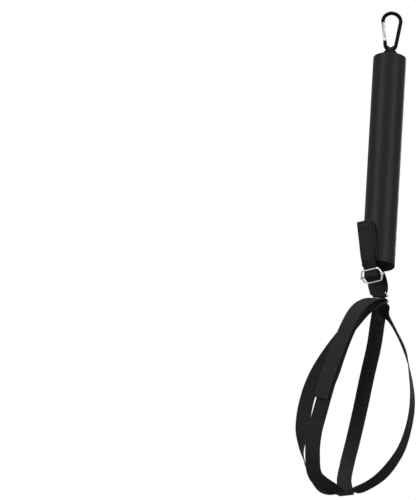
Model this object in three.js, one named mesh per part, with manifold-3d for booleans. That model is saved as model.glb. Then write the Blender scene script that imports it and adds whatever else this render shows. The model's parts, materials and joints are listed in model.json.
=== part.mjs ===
// A spike trainer for volleyball: a strap cradle that holds a ball, hung below a padded tube.
//
// It hangs from its carabiner. The origin is the point inside the carabiner's wide end where
// the hook or rail bears, +Z is up, +X is to the right and -Y is to the front. Lengths are in
// millimetres. From the top down: the carabiner with its sprung gate, a loop of webbing, a foam
// tube over an elastic cord, a strap that turns round a D-ring and comes back up through a
// tri-glide buckle, and two crossed loops of webbing whose front leg closes with a hook and
// loop flap.
import * as THREE from 'three';
import { mergeVertices } from 'three/addons/utils/BufferGeometryUtils.js';
import Module from 'manifold-3d';

const wasm = await Module();
wasm.setup();

// Fits
const seatGap = 0.3;
const pinGap = 0.15;
const latchGap = 0.35;
const cutOverrun = 3;
const weldDistance = 0.0005;

// Webbing, the same all through
const webbingWidth = 25;
const webbingThickness = 1.5;

// Carabiner: pear shaped, wide end up
const carabinerInsideHeight = 60;
const carabinerBarRadius = 3;
const wideEndRadius = 15;
const narrowEndRadius = 9;

// Carabiner gate
const gateRadius = 2.7;
const gatePivotRise = 10.8;
const gateCheekDrop = 2.6;
const gateShoulderDrop = 4.2;
const gateSlotDepth = 3.3;
const tongueThickness = 2.4;
const tongueRadius = 2.5;
const rivetRadius = 1;
const rivetHeadRadius = 1.9;
const rivetHeadHeight = 0.8;
const noseLength = 6;
const noseInnerReach = 1.9;
const noseOuterReach = 2.4;
const noseRoot = 2;
const latchPinRadius = 1;
const latchPinDrop = 3;
const plungerRadius = 1.2;
const plungerLength = 4;
const gateBoreWall = 4.6;
const gateSpringWire = 0.22;
const gateSpringPitch = 1.4;

// Top loop of webbing
const loopPinchAngle = THREE.MathUtils.degToRad(72);
const loopTailLength = 23;
const neckShares = [[0.2, 0.3, 0.1], [0.4, 0.78, 0.45], [0.62, 1, 0.85], [0.82, 1, 1]];

// Foam tube
const tubeDrop = 76.2;
const tubeLength = 375.3;
const tubeRadius = 28;
const tubeBoreRadius = 13.5;
const tubeRimRadius = 3;

// Elastic cord and its end fittings
const cordRadius = 4;
const fittingTabThickness = 4;
const fittingTabWidth = 14;
const fittingTabHeight = 17;
const fittingBarrelRadius = 6.5;
const fittingBarrelLength = 16;
const fittingSocketDepth = 13;
const upperFittingDepth = 8;
const lowerFittingRise = 20;
const fittingRivetRadius = 2;
const fittingRivetHeadRadius = 3.6;
const fittingRivetHeadHeight = 1;
const fittingRivetSetback = 8;

// D-ring, arc up and flat bar down
const ringWireRadius = 1.6;
const ringBend = 15;
const ringCornerRadius = 2.6;
const ringRight = 6.1;
const ringBarDrop = 61.4;
const ringSeam = 0.4;
const foldHalfAngle = THREE.MathUtils.degToRad(48);
const foldRise = 5;
const foldRiseShares = [0.5, 1];
const foldFlatShare = 1;
const foldEaseLength = 3;
const returningEaseLength = 1.5;

// Tri-glide buckle, bent wire with six sides
const buckleWireRadius = 1.3;
const buckleTopHalf = 16;
const buckleBottomHalf = 15;
const bucklePointHalf = 20.5;
const buckleHalfHeight = 11;
const buckleCornerRadius = 3;
const buckleSeam = 0.4;
const buckleEyeRadius = 3.2;
const buckleEyeHalfLength = 1.5;
const buckleEyeGap = 0.7;
const buckleRight = -10.2;
const buckleFront = 17;
const buckleDrop = 22.6;
const buckleBarDirection = new THREE.Vector3(0.838, -0.541, 0.071).normalize();
const buckleDownHint = new THREE.Vector3(0.325, 0.422, -0.844);

// Tail of the adjustable strap
const tabTurnShares = [0.04, 0.5];
const tabEaseLength = 3;
const tabKeptPlaces = 6;
const tabLeadShare = 3;
const tailTopRight = -26.6;
const tailTopFront = 28.5;
const tailTopRise = 72.5;
const tailMidRight = -18.2;
const tailMidFront = 26.6;
const tailMidRise = 3;
const threadAngle = THREE.MathUtils.degToRad(24);
const returningShares = [0.33, 0.67];
const standingShares = [0, 0.34, 0.67, 1];
const hemLength = 10;
const hemTurns = 4;

// Cradle of four legs, measured from the D-ring's flat bar down to the crossing
const cradleDrop = 343;
const crossingHalf = 13;
const crossingRunIn = 24;
const crossingTurn = THREE.MathUtils.degToRad(-18);
const crossingPitch = THREE.MathUtils.degToRad(12);
const crossingRoll = THREE.MathUtils.degToRad(3);
const keptPlaces = 3;
const crossingShares = [-0.1312, -0.0117, -1];
const wrapLeave = { left: 1.2, right: -1.45, front: 0.5, back: -1 };

// Places down each leg, as shares of the cradle's drop: right, back, up
const frontLegShares = [
  [-0.017, -0.032, 0.004],
  [-0.050, -0.061, -0.016],
  [-0.090, -0.096, -0.062],
  [-0.129, -0.128, -0.152],
  [-0.172, -0.152, -0.280],
  [-0.211, -0.169, -0.431],
  [-0.246, -0.178, -0.590],
  [-0.283, -0.175, -0.742],
  [-0.288, -0.155, -0.871],
  [-0.265, -0.111, -0.960],
];
const frontLegTurns = [-4, -8, -12, -14, -14, -13, -8, -4, -5, -14];
const backLegShares = [
  [0.000, 0.026, 0.004],
  [0.000, 0.050, -0.029],
  [-0.006, 0.090, -0.090],
  [-0.015, 0.140, -0.181],
  [-0.041, 0.204, -0.327],
  [-0.064, 0.245, -0.475],
  [-0.090, 0.245, -0.636],
  [-0.114, 0.201, -0.781],
  [-0.125, 0.125, -0.898],
];
const backLegTurns = [0, 0, -2, -3, -5, -6, -6, -6, -8];
const leftLegShares = [
  [-0.003, -0.015, -0.009],
  [-0.032, -0.044, -0.035],
  [-0.082, -0.064, -0.082],
  [-0.149, -0.047, -0.169],
  [-0.234, 0.006, -0.283],
  [-0.295, 0.064, -0.397],
  [-0.329, 0.105, -0.514],
  [-0.341, 0.118, -0.619],
  [-0.340, 0.118, -0.713],
  [-0.329, 0.105, -0.795],
  [-0.298, 0.080, -0.880],
  [-0.242, 0.040, -0.962],
];
const leftLegTurns = [-2, -6, -14, -22, -26, -28, -30, -42, -76, -94, -99, -104];
const rightLegShares = [
  [0.003, 0.012, -0.012],
  [0.020, 0.015, -0.035],
  [0.047, 0.012, -0.079],
  [0.095, 0.000, -0.157],
  [0.146, -0.015, -0.265],
  [0.174, -0.029, -0.388],
  [0.187, -0.041, -0.516],
  [0.175, -0.050, -0.653],
  [0.138, -0.052, -0.787],
  [0.058, -0.044, -0.910],
  [-0.022, -0.029, -0.970],
];
const rightLegTurns = [-8, -30, -75, -98, -101, -103, -108, -110, -117, -128, -122];

// Hook and loop closure of the front leg, as shares of the way down that leg
const patchThickness = 0.9;
const patchInset = 2.5;
const lowerStripStartShare = 0.408;
const flapHingeShare = 0.377;
const flapEndShare = 0.523;
const loopPatchEndShare = 0.585;
const patchEndShare = 0.012;
const closureRampShares = [0.12, 0.33];

// Facets
const wireSides = 10;
const barSides = 14;
const tubeSides = 48;
const pinSides = 16;
const rimSteps = 3;
const wrapSteps = 8;
const legSteps = 4;
const standingSteps = 4;
const tailSteps = 3;
const tabSteps = 3;
const carabinerSteps = 72;
const ringSteps = 80;
const buckleSteps = 96;
const springTurnSteps = 8;
const springSides = 5;
const acrossSteps = 2;
const cuppedSteps = 6;

const finishes = {
  blackBar: { color: 0x17181a, roughness: 0.28, metalness: 0.55 },
  brightMetal: { color: 0xd2d4d6, roughness: 0.22, metalness: 0.95 },
  springSteel: { color: 0x9c9ea0, roughness: 0.35, metalness: 0.9 },
  foam: { color: 0x2b2c2e, roughness: 0.78, metalness: 0 },
  webbing: { color: 0x1b1b1c, roughness: 0.85, metalness: 0 },
  elastic: { color: 0x2a2a2b, roughness: 0.7, metalness: 0 },
  hookTape: { color: 0x202021, roughness: 0.95, metalness: 0 },
};

// A geometry with shared corners, no empty triangles and its faces outward
function solid(geometry) {
  geometry.deleteAttribute('normal');
  geometry.deleteAttribute('uv');
  const merged = mergeVertices(geometry, weldDistance);
  const corners = merged.index.array;
  const kept = [];
  for (let i = 0; i < corners.length; i += 3) {
    const [a, b, c] = [corners[i], corners[i + 1], corners[i + 2]];
    if (a !== b && b !== c && c !== a) kept.push(a, b, c);
  }
  if (volumeOf(merged, kept) < 0) kept.reverse();
  merged.setIndex(kept);
  return merged;
}

function volumeOf(geometry, corners) {
  const place = geometry.getAttribute('position');
  const [p, q, r] = [new THREE.Vector3(), new THREE.Vector3(), new THREE.Vector3()];
  let six = 0;
  for (let i = 0; i < corners.length; i += 3) {
    p.fromBufferAttribute(place, corners[i]);
    q.fromBufferAttribute(place, corners[i + 1]);
    r.fromBufferAttribute(place, corners[i + 2]);
    six += p.dot(q.cross(r));
  }
  return six / 6;
}

function toManifold(geometry) {
  return new wasm.Manifold(new wasm.Mesh({
    numProp: 3,
    vertProperties: new Float32Array(geometry.getAttribute('position').array),
    triVerts: new Uint32Array(geometry.index.array),
  }));
}

function fromManifold(manifold) {
  const mesh = manifold.getMesh();
  const geometry = new THREE.BufferGeometry();
  geometry.setAttribute('position', new THREE.BufferAttribute(mesh.vertProperties, 3));
  geometry.setIndex(new THREE.BufferAttribute(mesh.triVerts, 1));
  return geometry;
}

function cut(body, tools) {
  return fromManifold(tools.reduce((left, tool) => left.subtract(toManifold(tool)), toManifold(body)));
}

function join(pieces) {
  return fromManifold(pieces.slice(1).reduce((all, one) => all.add(toManifold(one)), toManifold(pieces[0])));
}

function named(name, geometry, finish) {
  const mesh = new THREE.Mesh(geometry, new THREE.MeshStandardMaterial(finishes[finish]));
  mesh.name = name;
  return mesh;
}

function grouped(x, y, z, ...pieces) {
  const group = new THREE.Group();
  group.position.set(x, y, z);
  group.add(...pieces);
  return group;
}

// A box from its low corner to its high corner
function block(low, high) {
  const [dx, dy, dz] = high.map((value, i) => value - low[i]);
  const geometry = new THREE.BoxGeometry(dx, dy, dz);
  geometry.translate(...low.map((value, i) => (value + high[i]) / 2));
  return solid(geometry);
}

// A round bar along an axis, from one place on it to another
function rod(radius, from, to, axis = 'z', sides = pinSides) {
  const geometry = new THREE.CylinderGeometry(radius, radius, to - from, sides);
  geometry.translate(0, (from + to) / 2, 0);
  if (axis === 'z') geometry.rotateX(Math.PI / 2);
  if (axis === 'x') geometry.rotateZ(-Math.PI / 2);
  return solid(geometry);
}

// A profile of (radius, height) turned round Z
function turned(profile, sides) {
  const geometry = new THREE.LatheGeometry(profile.map(([r, z]) => new THREE.Vector2(r, z)), sides);
  geometry.rotateX(Math.PI / 2);
  return solid(geometry);
}

// Round bar bent along a path
function wire(path, radius, steps, sides) {
  const corners = [];
  for (let i = 0; i < sides; i += 1) {
    const angle = (i / sides) * 2 * Math.PI;
    corners.push(new THREE.Vector2(radius * Math.cos(angle), radius * Math.sin(angle)));
  }
  return solid(new THREE.ExtrudeGeometry(new THREE.Shape(corners), { steps, extrudePath: path }));
}

// An arc in the XZ plane; angles start at +X and turn towards +Z
class UprightArc extends THREE.Curve {
  constructor(x, z, radius, from, to) {
    super();
    Object.assign(this, { x, z, radius, from, to });
  }

  getPoint(t, target = new THREE.Vector3()) {
    const angle = this.from + (this.to - this.from) * t;
    return target.set(this.x + this.radius * Math.cos(angle), 0, this.z + this.radius * Math.sin(angle));
  }
}

// A helix round Z that starts at height 0
class Helix extends THREE.Curve {
  constructor(radius, height, turns) {
    super();
    Object.assign(this, { radius, height, turns });
  }

  getPoint(t, target = new THREE.Vector3()) {
    const angle = t * this.turns * 2 * Math.PI;
    return target.set(this.radius * Math.cos(angle), this.radius * Math.sin(angle), this.height * t);
  }
}

// Straight runs between corners, each corner rounded by a short bend
function bentPath(corners, radius) {
  const path = new THREE.CurvePath();
  let start = corners[0];
  for (let i = 1; i < corners.length - 1; i += 1) {
    const back = corners[i].clone().sub(corners[i - 1]).setLength(radius);
    const onward = corners[i + 1].clone().sub(corners[i]).setLength(radius);
    const from = corners[i].clone().sub(back);
    const to = corners[i].clone().add(onward);
    path.add(new THREE.LineCurve3(start, from));
    path.add(new THREE.QuadraticBezierCurve3(from, corners[i], to));
    start = to;
  }
  path.add(new THREE.LineCurve3(start, corners[corners.length - 1]));
  return path;
}

// A strip with a thickness, from rows of places across its width
function strip(rows, thickness, closed = false) {
  const [long, wide] = [rows.length, rows[0].length];
  const faces = [];
  const surface = [1, -1].map((side) => rows.map((row, i) => row.map((place, j) => {
    const before = closed ? rows[(i + long - 1) % long] : rows[Math.max(i - 1, 0)];
    const after = closed ? rows[(i + 1) % long] : rows[Math.min(i + 1, long - 1)];
    const along = after[j].clone().sub(before[j]);
    const across = row[Math.min(j + 1, wide - 1)].clone().sub(row[Math.max(j - 1, 0)]);
    return place.clone().addScaledVector(along.cross(across).normalize(), (side * thickness) / 2);
  })));
  const quad = (a, b, c, d) => faces.push(a, b, c, a, c, d);
  const last = closed ? long : long - 1;
  for (let i = 0; i < last; i += 1) {
    const next = (i + 1) % long;
    for (let j = 0; j < wide - 1; j += 1) {
      quad(surface[0][i][j], surface[0][next][j], surface[0][next][j + 1], surface[0][i][j + 1]);
      quad(surface[1][i][j + 1], surface[1][next][j + 1], surface[1][next][j], surface[1][i][j]);
    }
    quad(surface[1][i][0], surface[1][next][0], surface[0][next][0], surface[0][i][0]);
    const edge = wide - 1;
    quad(surface[0][i][edge], surface[0][next][edge], surface[1][next][edge], surface[1][i][edge]);
  }
  for (let j = 0; j < wide - 1 && !closed; j += 1) {
    quad(surface[1][0][j], surface[0][0][j], surface[0][0][j + 1], surface[1][0][j + 1]);
    const end = long - 1;
    quad(surface[0][end][j], surface[1][end][j], surface[1][end][j + 1], surface[0][end][j + 1]);
  }
  const geometry = new THREE.BufferGeometry();
  geometry.setAttribute('position', new THREE.Float32BufferAttribute(faces.flatMap((p) => p.toArray()), 3));
  return solid(geometry);
}

// One straight row of places, centred and level with a direction across the strip
function flatRow(centre, across, width, steps) {
  const row = [];
  for (let j = 0; j <= steps; j += 1) {
    row.push(centre.clone().addScaledVector(across, width * (j / steps - 1 / 2)));
  }
  return row;
}

function mixRows(first, second, share) {
  return first.map((place, j) => place.clone().lerp(second[j], share));
}

// A smooth path through places, with a direction across for each of them. Over the first
// places the rows keep to that direction, and further on they come square to the path.
function bandPath(places, acrosses, keptPlaces = 0) {
  const path = new THREE.CatmullRomCurve3(places, false, 'centripetal');
  const turn = new THREE.CatmullRomCurve3(acrosses, false, 'catmullrom');
  return { path, turn, keptShare: keptPlaces / (places.length - 1), spans: places.length - 1 };
}

function rowAt(band, share, width, lift = 0) {
  const heading = band.path.getTangent(share);
  const across = band.turn.getPoint(share);
  const squareShare = band.keptShare > 0 ? Math.min(share / band.keptShare, 1) : 1;
  across.addScaledVector(heading, -squareShare * across.dot(heading)).normalize();
  const outward = heading.cross(across).normalize();
  return flatRow(band.path.getPoint(share).addScaledVector(outward, lift), across, width, acrossSteps);
}

function bandRows(band, perSpan, width = webbingWidth) {
  const count = perSpan * band.spans;
  const rows = [];
  for (let i = 0; i <= count; i += 1) rows.push(rowAt(band, i / count, width));
  return rows;
}

const halfWebbing = webbingThickness / 2;
const layer = webbingThickness + seatGap;
const rightward = new THREE.Vector3(1, 0, 0);
const backward = new THREE.Vector3(0, 1, 0);
const upward = new THREE.Vector3(0, 0, 1);

// One row of webbing that bends over a curved bar: the bar's bend lies in the XZ plane, and
// the row stands at a turn round the bar, where 0 is the inside of the bend. There the webbing is
// pulled tight across the bend and lies flat.
function saddleRow(bend, turn) {
  const offset = bend.barRadius + seatGap + halfWebbing;
  const reach = bend.radius - offset * Math.cos(turn);
  const edgeRise = reach * Math.cos(bend.halfAngle);
  const flatShare = foldFlatShare * Math.cos(turn);
  const row = [];
  for (let j = 0; j <= cuppedSteps; j += 1) {
    const angle = bend.halfAngle * ((2 * j) / cuppedSteps - 1);
    const rise = THREE.MathUtils.lerp(reach * Math.cos(angle), edgeRise, flatShare);
    row.push(new THREE.Vector3(bend.x + reach * Math.sin(angle), offset * Math.sin(turn), bend.z + rise));
  }
  return row;
}

// Carabiner
const wideCentreZ = carabinerBarRadius - wideEndRadius;
const narrowCentreZ = narrowEndRadius - carabinerBarRadius - carabinerInsideHeight;
const bearingZ = narrowCentreZ - narrowEndRadius;
const sideLean = Math.asin((wideEndRadius - narrowEndRadius) / (wideCentreZ - narrowCentreZ));
const leftSide = (radius, centreZ) => new THREE.Vector3(
  -radius * Math.cos(sideLean), 0, centreZ - radius * Math.sin(sideLean));
const rightSide = (radius, centreZ) => leftSide(radius, centreZ).multiply(new THREE.Vector3(-1, 1, 1));
const sideUp = leftSide(wideEndRadius, wideCentreZ).sub(leftSide(narrowEndRadius, narrowCentreZ)).normalize();
const gatePivot = leftSide(narrowEndRadius, narrowCentreZ).addScaledVector(sideUp, gatePivotRise);
const gateLength = leftSide(wideEndRadius, wideCentreZ).distanceTo(gatePivot) - seatGap;
const noseSlotZ = gateLength - noseLength - 2 * seatGap;
const gateBoreEnd = noseSlotZ - gateBoreWall;

function inGateFrame(geometry) {
  geometry.rotateY(-sideLean);
  geometry.translate(...gatePivot.toArray());
  return geometry;
}

function carabinerBody() {
  const bend = new THREE.CurvePath();
  const shoulder = gatePivot.clone().addScaledVector(sideUp, -gateShoulderDrop);
  bend.add(new UprightArc(0, wideCentreZ, wideEndRadius, Math.PI + sideLean, -sideLean));
  bend.add(new THREE.LineCurve3(
    rightSide(wideEndRadius, wideCentreZ), rightSide(narrowEndRadius, narrowCentreZ)));
  bend.add(new UprightArc(0, narrowCentreZ, narrowEndRadius, -sideLean, sideLean - Math.PI));
  bend.add(new THREE.LineCurve3(leftSide(narrowEndRadius, narrowCentreZ), shoulder));
  const half = tongueThickness / 2;
  const tongue = inGateFrame(join([
    block([-tongueRadius, -half, -gateShoulderDrop - noseRoot], [tongueRadius, half, 0]),
    rod(tongueRadius, -half, half, 'y'),
  ]));
  const nose = inGateFrame(cut(
    block([-noseOuterReach, -half, gateLength - noseLength], [noseInnerReach, half, gateLength + noseRoot]),
    [block(
      [-latchPinRadius - latchGap, -half - cutOverrun, gateLength - latchPinDrop - latchPinRadius - latchGap],
      [noseInnerReach + cutOverrun, half + cutOverrun, gateLength - latchPinDrop + latchPinRadius + latchGap])],
  ));
  const hole = inGateFrame(rod(rivetRadius + pinGap, -gateRadius, gateRadius, 'y'));
  return cut(join([wire(bend, carabinerBarRadius, carabinerSteps, barSides), tongue, nose]), [hole]);
}

function gateBody() {
  const slot = tongueThickness / 2 + seatGap;
  const reach = gateRadius + cutOverrun;
  return cut(rod(gateRadius, -gateCheekDrop, gateLength, 'z', barSides), [
    block([-reach, -slot, -gateCheekDrop - cutOverrun], [reach, slot, gateSlotDepth]),
    block([-reach, -slot, noseSlotZ], [reach, slot, gateLength + cutOverrun]),
    rod(rivetRadius + pinGap, -reach, reach, 'y'),
    rod(plungerRadius + pinGap, gateSlotDepth - cutOverrun, gateBoreEnd),
    rod(latchPinRadius + pinGap, -reach, reach, 'y').translate(0, 0, gateLength - latchPinDrop),
  ]);
}

// A rivet along Y: a shank between two domed heads, each bearing at a distance from the middle
function rivet(radius, bearing, headRadius, headHeight) {
  const top = bearing + headHeight;
  const profile = [
    [0, -top], [headRadius / 2, -top], [headRadius, -bearing - headHeight / 2], [headRadius, -bearing],
    [radius, -bearing], [radius, bearing],
    [headRadius, bearing], [headRadius, bearing + headHeight / 2], [headRadius / 2, top], [0, top],
  ];
  return turned(profile, pinSides).rotateX(Math.PI / 2);
}

function gateSpring() {
  const from = gateSlotDepth + plungerLength + seatGap + gateSpringWire;
  const height = gateBoreEnd - seatGap - gateSpringWire - from;
  const turns = height / gateSpringPitch;
  const coil = new Helix(plungerRadius - gateSpringWire, height, turns);
  const gap = gateSpringPitch - 2 * gateSpringWire;
  console.log(`gate spring, least gap between turns: ${gap.toFixed(2)} mm`);
  return wire(coil, gateSpringWire, Math.ceil(turns * springTurnSteps), springSides).translate(0, 0, from);
}

function gatePlunger() {
  const foot = tongueRadius + seatGap;
  return turned([[0, foot], [plungerRadius / 2, foot], [plungerRadius, foot + plungerRadius / 2],
    [plungerRadius, gateSlotDepth + plungerLength], [0, gateSlotDepth + plungerLength]], pinSides);
}

// Top loop: cupped over the inside of the carabiner's narrow end, and flat inside the tube.
// Every strand turns about the same level line, so the loop can swing on the bar.
function overBar(turn) {
  const cup = narrowEndRadius - carabinerBarRadius - seatGap - halfWebbing;
  const row = [];
  for (let j = 0; j <= cuppedSteps; j += 1) {
    const angle = loopPinchAngle * ((2 * j) / cuppedSteps - 1);
    const reach = narrowEndRadius - cup * Math.cos(angle);
    row.push(new THREE.Vector3(
      cup * Math.sin(angle), reach * Math.sin(turn), bearingZ + reach * Math.cos(turn)));
  }
  return row;
}

function topLoop() {
  const tailY = fittingTabThickness / 2 + seatGap + halfWebbing;
  const flat = (side, z) => flatRow(
    new THREE.Vector3(0, side * tailY, z), rightward, webbingWidth, cuppedSteps);
  const neck = (side) => neckShares.map(([downShare, spreadShare, closeShare]) => {
    const to = flat(side, 0);
    return overBar((side * Math.PI) / 2).map((place, j) => new THREE.Vector3(
      THREE.MathUtils.lerp(place.x, to[j].x, spreadShare),
      THREE.MathUtils.lerp(place.y, to[j].y, closeShare),
      THREE.MathUtils.lerp(bearingZ, -tubeDrop, downShare)));
  });
  const rows = [flat(-1, -tubeDrop - loopTailLength), flat(-1, -tubeDrop), ...neck(-1).reverse()];
  for (let i = 0; i <= wrapSteps; i += 1) rows.push(overBar(Math.PI * (i / wrapSteps - 1 / 2)));
  rows.push(...neck(1), flat(1, -tubeDrop), flat(1, -tubeDrop - loopTailLength));
  const hole = rod(fittingRivetRadius + pinGap, -tailY - cutOverrun, tailY + cutOverrun, 'y')
    .translate(0, 0, -tubeDrop - upperFittingDepth - fittingRivetSetback);
  return cut(strip(rows, webbingThickness), [hole]);
}

// Foam tube with rounded rims
const tubeBottomZ = -tubeDrop - tubeLength;

function foamTube() {
  const rim = [];
  for (let i = 0; i <= rimSteps; i += 1) {
    const angle = (i / rimSteps) * (Math.PI / 2);
    rim.push([tubeRadius - tubeRimRadius * (1 - Math.sin(angle)), tubeRimRadius * (1 - Math.cos(angle))]);
  }
  const bottom = rim.map(([r, z]) => [r, tubeBottomZ + z]);
  const top = rim.map(([r, z]) => [r, -tubeDrop - z]).reverse();
  const profile = [[tubeBoreRadius, tubeBottomZ], ...bottom, ...top,
    [tubeBoreRadius, -tubeDrop], [tubeBoreRadius, tubeBottomZ]];
  return turned(profile, tubeSides);
}

// End fitting of the cord: a tab that the webbing is riveted to and a barrel crimped on the cord.
// The tab's top is at height 0 and the barrel hangs below it.
function cordFitting() {
  const barrelTop = -fittingTabHeight;
  const barrelEnd = barrelTop - fittingBarrelLength;
  const socket = cordRadius + seatGap;
  const socketEnd = barrelEnd + fittingSocketDepth;
  const barrel = turned([[0, barrelTop], [fittingBarrelRadius, barrelTop], [fittingBarrelRadius, barrelEnd],
    [socket, barrelEnd], [socket, socketEnd], [0, socketEnd]], pinSides);
  const tab = block([-fittingTabWidth / 2, -fittingTabThickness / 2, barrelTop - seatGap],
    [fittingTabWidth / 2, fittingTabThickness / 2, 0]);
  const hole = rod(fittingRivetRadius + pinGap, -fittingTabThickness, fittingTabThickness, 'y')
    .translate(0, 0, -fittingRivetSetback);
  return cut(join([barrel, tab]), [hole]);
}

function fittingRivet() {
  const bearing = fittingTabThickness / 2 + 2 * seatGap + webbingThickness;
  return rivet(fittingRivetRadius, bearing, fittingRivetHeadRadius, fittingRivetHeadHeight);
}

const upperFittingZ = -tubeDrop - upperFittingDepth;
const lowerFittingZ = tubeBottomZ + lowerFittingRise;
const cordEndSetback = fittingTabHeight + fittingBarrelLength - fittingSocketDepth + seatGap;

function elasticCord() {
  return rod(cordRadius, lowerFittingZ + cordEndSetback, upperFittingZ - cordEndSetback, 'z', pinSides);
}

// D-ring
const ringBarZ = tubeBottomZ - ringBarDrop;
const ringBendZ = ringBarZ + ringCornerRadius;

function dRing() {
  const path = new THREE.CurvePath();
  const straight = ringBend - ringCornerRadius;
  path.add(new THREE.LineCurve3(new THREE.Vector3(ringSeam / 2, 0, 0), new THREE.Vector3(straight, 0, 0)));
  path.add(new UprightArc(straight, ringCornerRadius, ringCornerRadius, -Math.PI / 2, 0));
  path.add(new UprightArc(0, ringCornerRadius, ringBend, 0, Math.PI));
  path.add(new UprightArc(-straight, ringCornerRadius, ringCornerRadius, Math.PI, 1.5 * Math.PI));
  path.add(new THREE.LineCurve3(new THREE.Vector3(-straight, 0, 0), new THREE.Vector3(-ringSeam / 2, 0, 0)));
  return wire(path, ringWireRadius, ringSteps, wireSides);
}

// The strap bends round the inside of the ring's arc: down behind it and up in front of it
const ringArc = {
  x: ringRight, z: ringBendZ, radius: ringBend, barRadius: ringWireRadius, halfAngle: foldHalfAngle,
};
const foldTopZ = ringBendZ + ringBend + foldRise;
const foldTop = (side) => new THREE.Vector3(ringRight, side * (ringWireRadius + seatGap + halfWebbing), foldTopZ);

function strapFold() {
  const rise = (side) => foldRiseShares.map((share) => mixRows(saddleRow(ringArc, (side * Math.PI) / 2),
    flatRow(foldTop(side), rightward, webbingWidth, cuppedSteps), share));
  const rows = rise(1).reverse();
  for (let i = 0; i <= wrapSteps; i += 1) {
    rows.push(saddleRow(ringArc, Math.PI * (1 / 2 - i / wrapSteps)));
  }
  return strip([...rows, ...rise(-1)], webbingThickness);
}

// Buckle frame of reference: along its bars, down its face, and out of its front
const buckleCentre = new THREE.Vector3(buckleRight, -buckleFront, tubeBottomZ - buckleDrop);
const buckleOut = buckleBarDirection.clone().cross(buckleDownHint).normalize().negate();
const buckleDown = buckleBarDirection.clone().cross(buckleOut).normalize();

function onBuckle(down, out) {
  return buckleCentre.clone().addScaledVector(buckleDown, down).addScaledVector(buckleOut, out);
}

function buckleFrame() {
  const corner = (x, z) => new THREE.Vector3(x, 0, z);
  const path = bentPath([
    corner(-buckleSeam / 2, -buckleHalfHeight), corner(-buckleBottomHalf, -buckleHalfHeight),
    corner(-bucklePointHalf, 0), corner(-buckleTopHalf, buckleHalfHeight),
    corner(buckleTopHalf, buckleHalfHeight), corner(bucklePointHalf, 0),
    corner(buckleBottomHalf, -buckleHalfHeight), corner(buckleSeam / 2, -buckleHalfHeight),
  ], buckleCornerRadius);
  return wire(path, buckleWireRadius, buckleSteps, wireSides);
}

function buckleCentreBar() {
  const bar = rod(buckleWireRadius, -bucklePointHalf, bucklePointHalf, 'x', wireSides);
  const eyes = [-1, 1].map((side) => rod(buckleEyeRadius, -buckleEyeHalfLength, buckleEyeHalfLength)
    .translate(side * (bucklePointHalf - buckleEyeGap), 0, 0));
  const holes = [-1, 1].map((side) => rod(buckleWireRadius + buckleEyeGap, -buckleEyeRadius, buckleEyeRadius)
    .translate(side * (bucklePointHalf - buckleEyeGap), 0, 0));
  return cut(join([bar, ...eyes]), holes);
}

// The adjustable strap: down from the cord's lower fitting, round the ring, up through the buckle
const mouthX = fittingTabThickness / 2 + seatGap + halfWebbing;
const strapTopZ = lowerFittingZ + fittingTabHeight - seatGap;

function rivetHoleAcross() {
  return rod(fittingRivetRadius + pinGap, -tubeBoreRadius, tubeBoreRadius, 'x')
    .translate(0, 0, lowerFittingZ + fittingRivetSetback);
}

function standingStrap() {
  const end = foldTop(1).addScaledVector(upward, seatGap);
  const ease = end.clone().addScaledVector(upward, foldEaseLength);
  const between = (share) => new THREE.Vector3(mouthX, 0, tubeBottomZ).lerp(ease, share);
  const places = [new THREE.Vector3(mouthX, 0, strapTopZ),
    new THREE.Vector3(mouthX, 0, tubeBottomZ + lowerFittingRise / 2), ...standingShares.map(between), end];
  const quarterTurn = (share) => backward.clone().applyAxisAngle(upward, (share * Math.PI) / 2);
  const acrosses = [0, 0, ...standingShares, 1].map(quarterTurn);
  const rows = bandRows(bandPath(places, acrosses), standingSteps);
  rows[rows.length - 1] = flatRow(end, rightward.clone().negate(), webbingWidth, acrossSteps);
  return cut(strip(rows, webbingThickness), [rivetHoleAcross()]);
}

// The strap runs behind the buckle's bottom bar, in front of its wrapped centre bar and
// behind its top bar. Its places round a bar start straight behind or in front and turn up.
const behindBar = buckleWireRadius + seatGap + halfWebbing;
const overWrap = behindBar + layer;
const weaveAngle = Math.asin((behindBar + overWrap) / buckleHalfHeight);
const behind = (bar, angle) => onBuckle(bar - behindBar * Math.sin(angle), -behindBar * Math.cos(angle));
const inFront = (angle) => onBuckle(-overWrap * Math.sin(angle), overWrap * Math.cos(angle));

function returningStrap() {
  const start = foldTop(-1).addScaledVector(upward, seatGap);
  const end = behind(buckleHalfHeight, threadAngle);
  const ease = start.clone().addScaledVector(upward, returningEaseLength);
  const places = [start, ease, ...returningShares.map((share) => ease.clone().lerp(end, share)), end];
  const acrosses = [0, 0, ...returningShares, 1]
    .map((share) => rightward.clone().lerp(buckleBarDirection, share));
  return strip(places.map((place, i) => flatRow(place, acrosses[i].normalize(), webbingWidth, acrossSteps)),
    webbingThickness);
}

const tailTop = new THREE.Vector3(tailTopRight, -tailTopFront, tubeBottomZ + tailTopRise);
const tailMid = new THREE.Vector3(tailMidRight, -tailMidFront, tubeBottomZ + tailMidRise);

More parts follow.
